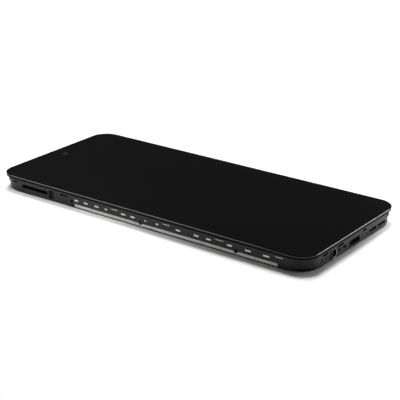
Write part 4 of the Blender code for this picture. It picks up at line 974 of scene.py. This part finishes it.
def turned(name, centre_x, centre_y, profile, material):
    """A closed profile, going down its outer side, carried round an upright axis.

    At each angle a point stands at the axis plus its radius times (cos angle, sin angle), at its height.
    """
    angles = np.linspace(0.0, 2 * math.pi, TURN_STEPS, endpoint=False)[:, None]
    radius, height = np.array(profile).T
    x = centre_x + radius * np.cos(angles)
    y = centre_y + radius * np.sin(angles)
    z = np.broadcast_to(height, x.shape)
    points = np.stack([x, y, z], axis=-1).reshape(-1, 3)
    faces = grid_faces(TURN_STEPS, len(profile), closed_rows=True, closed_columns=True)
    return make_piece(name, points, faces, material)


def insert_profile(low, high):
    """Outer side down, past the groove between two knurled bands, then up the bore.

    The groove's points lie at shares of the height. In the bore the radius swings once with each pitch of
    the thread: THREAD_DEPTH times the distance of the turn's fraction from a half.
    """
    narrow = INSERT_RADIUS - INSERT_CHAMFER
    outer = [(narrow, high), (INSERT_RADIUS, high - INSERT_CHAMFER)]
    outer += [(INSERT_RADIUS - cut, high - share * (high - low)) for share, cut in KNURL_GROOVE]
    outer += [(INSERT_RADIUS, low + INSERT_CHAMFER), (narrow, low)]
    turns = np.arange(low + BORE_CHAMFER, high - BORE_CHAMFER, THREAD_PITCH / 4)
    bore = BORE_RADIUS + THREAD_DEPTH * np.abs((turns - low) / THREAD_PITCH % 1.0 - 0.5)
    mouth = BORE_RADIUS + BORE_CHAMFER
    return outer + [(mouth, low)] + list(zip(bore, turns)) + [(mouth, high)]


for number in range(1, 8):
    insert_low, insert_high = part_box(f"screw_insert_{number}")
    middle = (insert_low + insert_high) / 2
    insert = turned(
        f"screw_insert_{number}_fine", middle.x, middle.y, insert_profile(insert_low.z, insert_high.z),
        FINISHES["brass"],
    )
    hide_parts(f"screw_insert_{number}")
print("inserts made: 7, faces each:", len(insert.data.polygons))

# %% [markdown]
# ## The contacts of the flex's plug
# The display's flex ends in a plug that the main board's socket presses on. Two rows of gilded contacts stand
# in it. Each is one small block, and all blocks come from one array of corners, because forty-six separate
# pieces would say no more than one.

# %% Contacts
CONTACT_PITCH = 0.4 * MM
CONTACT_SIZE = np.array([0.18, 0.34, 0.34]) * MM
CONTACTS_IN_ROW = 23
CONTACT_HEIGHT = 0.38 * MM
ROW_OFFSET = 0.5 * MM


def blocks(name, centres, size, material):
    """Equal upright blocks round an array of centres, as one piece.

    Each block's corners are its centre plus or minus half its size, four below and four above.
    """
    around = np.array([(-0.5, -0.5), (0.5, -0.5), (0.5, 0.5), (-0.5, 0.5)])
    corners = np.column_stack([np.tile(around, (2, 1)), np.repeat([-0.5, 0.5], 4)])
    points = centres[:, None, :] + corners[None] * size
    sides = np.array([(3, 2, 1, 0), (4, 5, 6, 7), (0, 1, 5, 4), (1, 2, 6, 5), (2, 3, 7, 6), (3, 0, 4, 7)])
    faces = sides[None] + len(corners) * np.arange(len(centres))[:, None, None]
    return make_piece(name, points.reshape(-1, 3), faces.reshape(-1, 4).tolist(), material)


plug_low, plug_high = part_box("flex_connector")
plug_middle = (plug_low + plug_high) / 2
along_row = plug_middle.x + CONTACT_PITCH * (np.arange(CONTACTS_IN_ROW) - (CONTACTS_IN_ROW - 1) / 2)
across_rows = plug_middle.y + ROW_OFFSET * np.array([-1.0, 1.0])
places = np.stack(np.meshgrid(along_row, across_rows, [plug_low.z + CONTACT_HEIGHT], indexing="ij"), axis=-1)
contacts = blocks("flex_connector_contacts", places.reshape(-1, 3), CONTACT_SIZE, FINISHES["brass"])
print("contacts:", places.size // 3, "faces:", len(contacts.data.polygons))

# %% [markdown]
# ## The grounding pads
# Two pads beside the plug join the midplate to the board's ground. Each is foam wrapped in metallised fabric,
# so its free edges are round. The stack of rings that made the glass makes them too: each ring of the pad
# moves inwards by one minus the sine of an angle, and rises by one minus its cosine.

# %% Pads
PAD_ROUND = 0.3 * MM
PAD_RADIUS = 0.7 * MM
PAD_CORNER_STEPS = 8

bend = np.linspace(0.0, math.pi / 2, 9)
for number in (1, 2):
    pad_low, pad_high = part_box(f"grounding_foam_{number}")
    pad = stacked(
        f"grounding_foam_{number}_fine", pad_low, pad_high, PAD_RADIUS,
        np.append(PAD_ROUND * (1 - np.sin(bend)), 0.0),
        np.append(pad_low.z + PAD_ROUND * (1 - np.cos(bend)), pad_high.z),
        FINISHES["conductive_foam"], PAD_CORNER_STEPS,
    )
    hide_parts(f"grounding_foam_{number}")
print("pads made: 2, faces each:", len(pad.data.polygons))
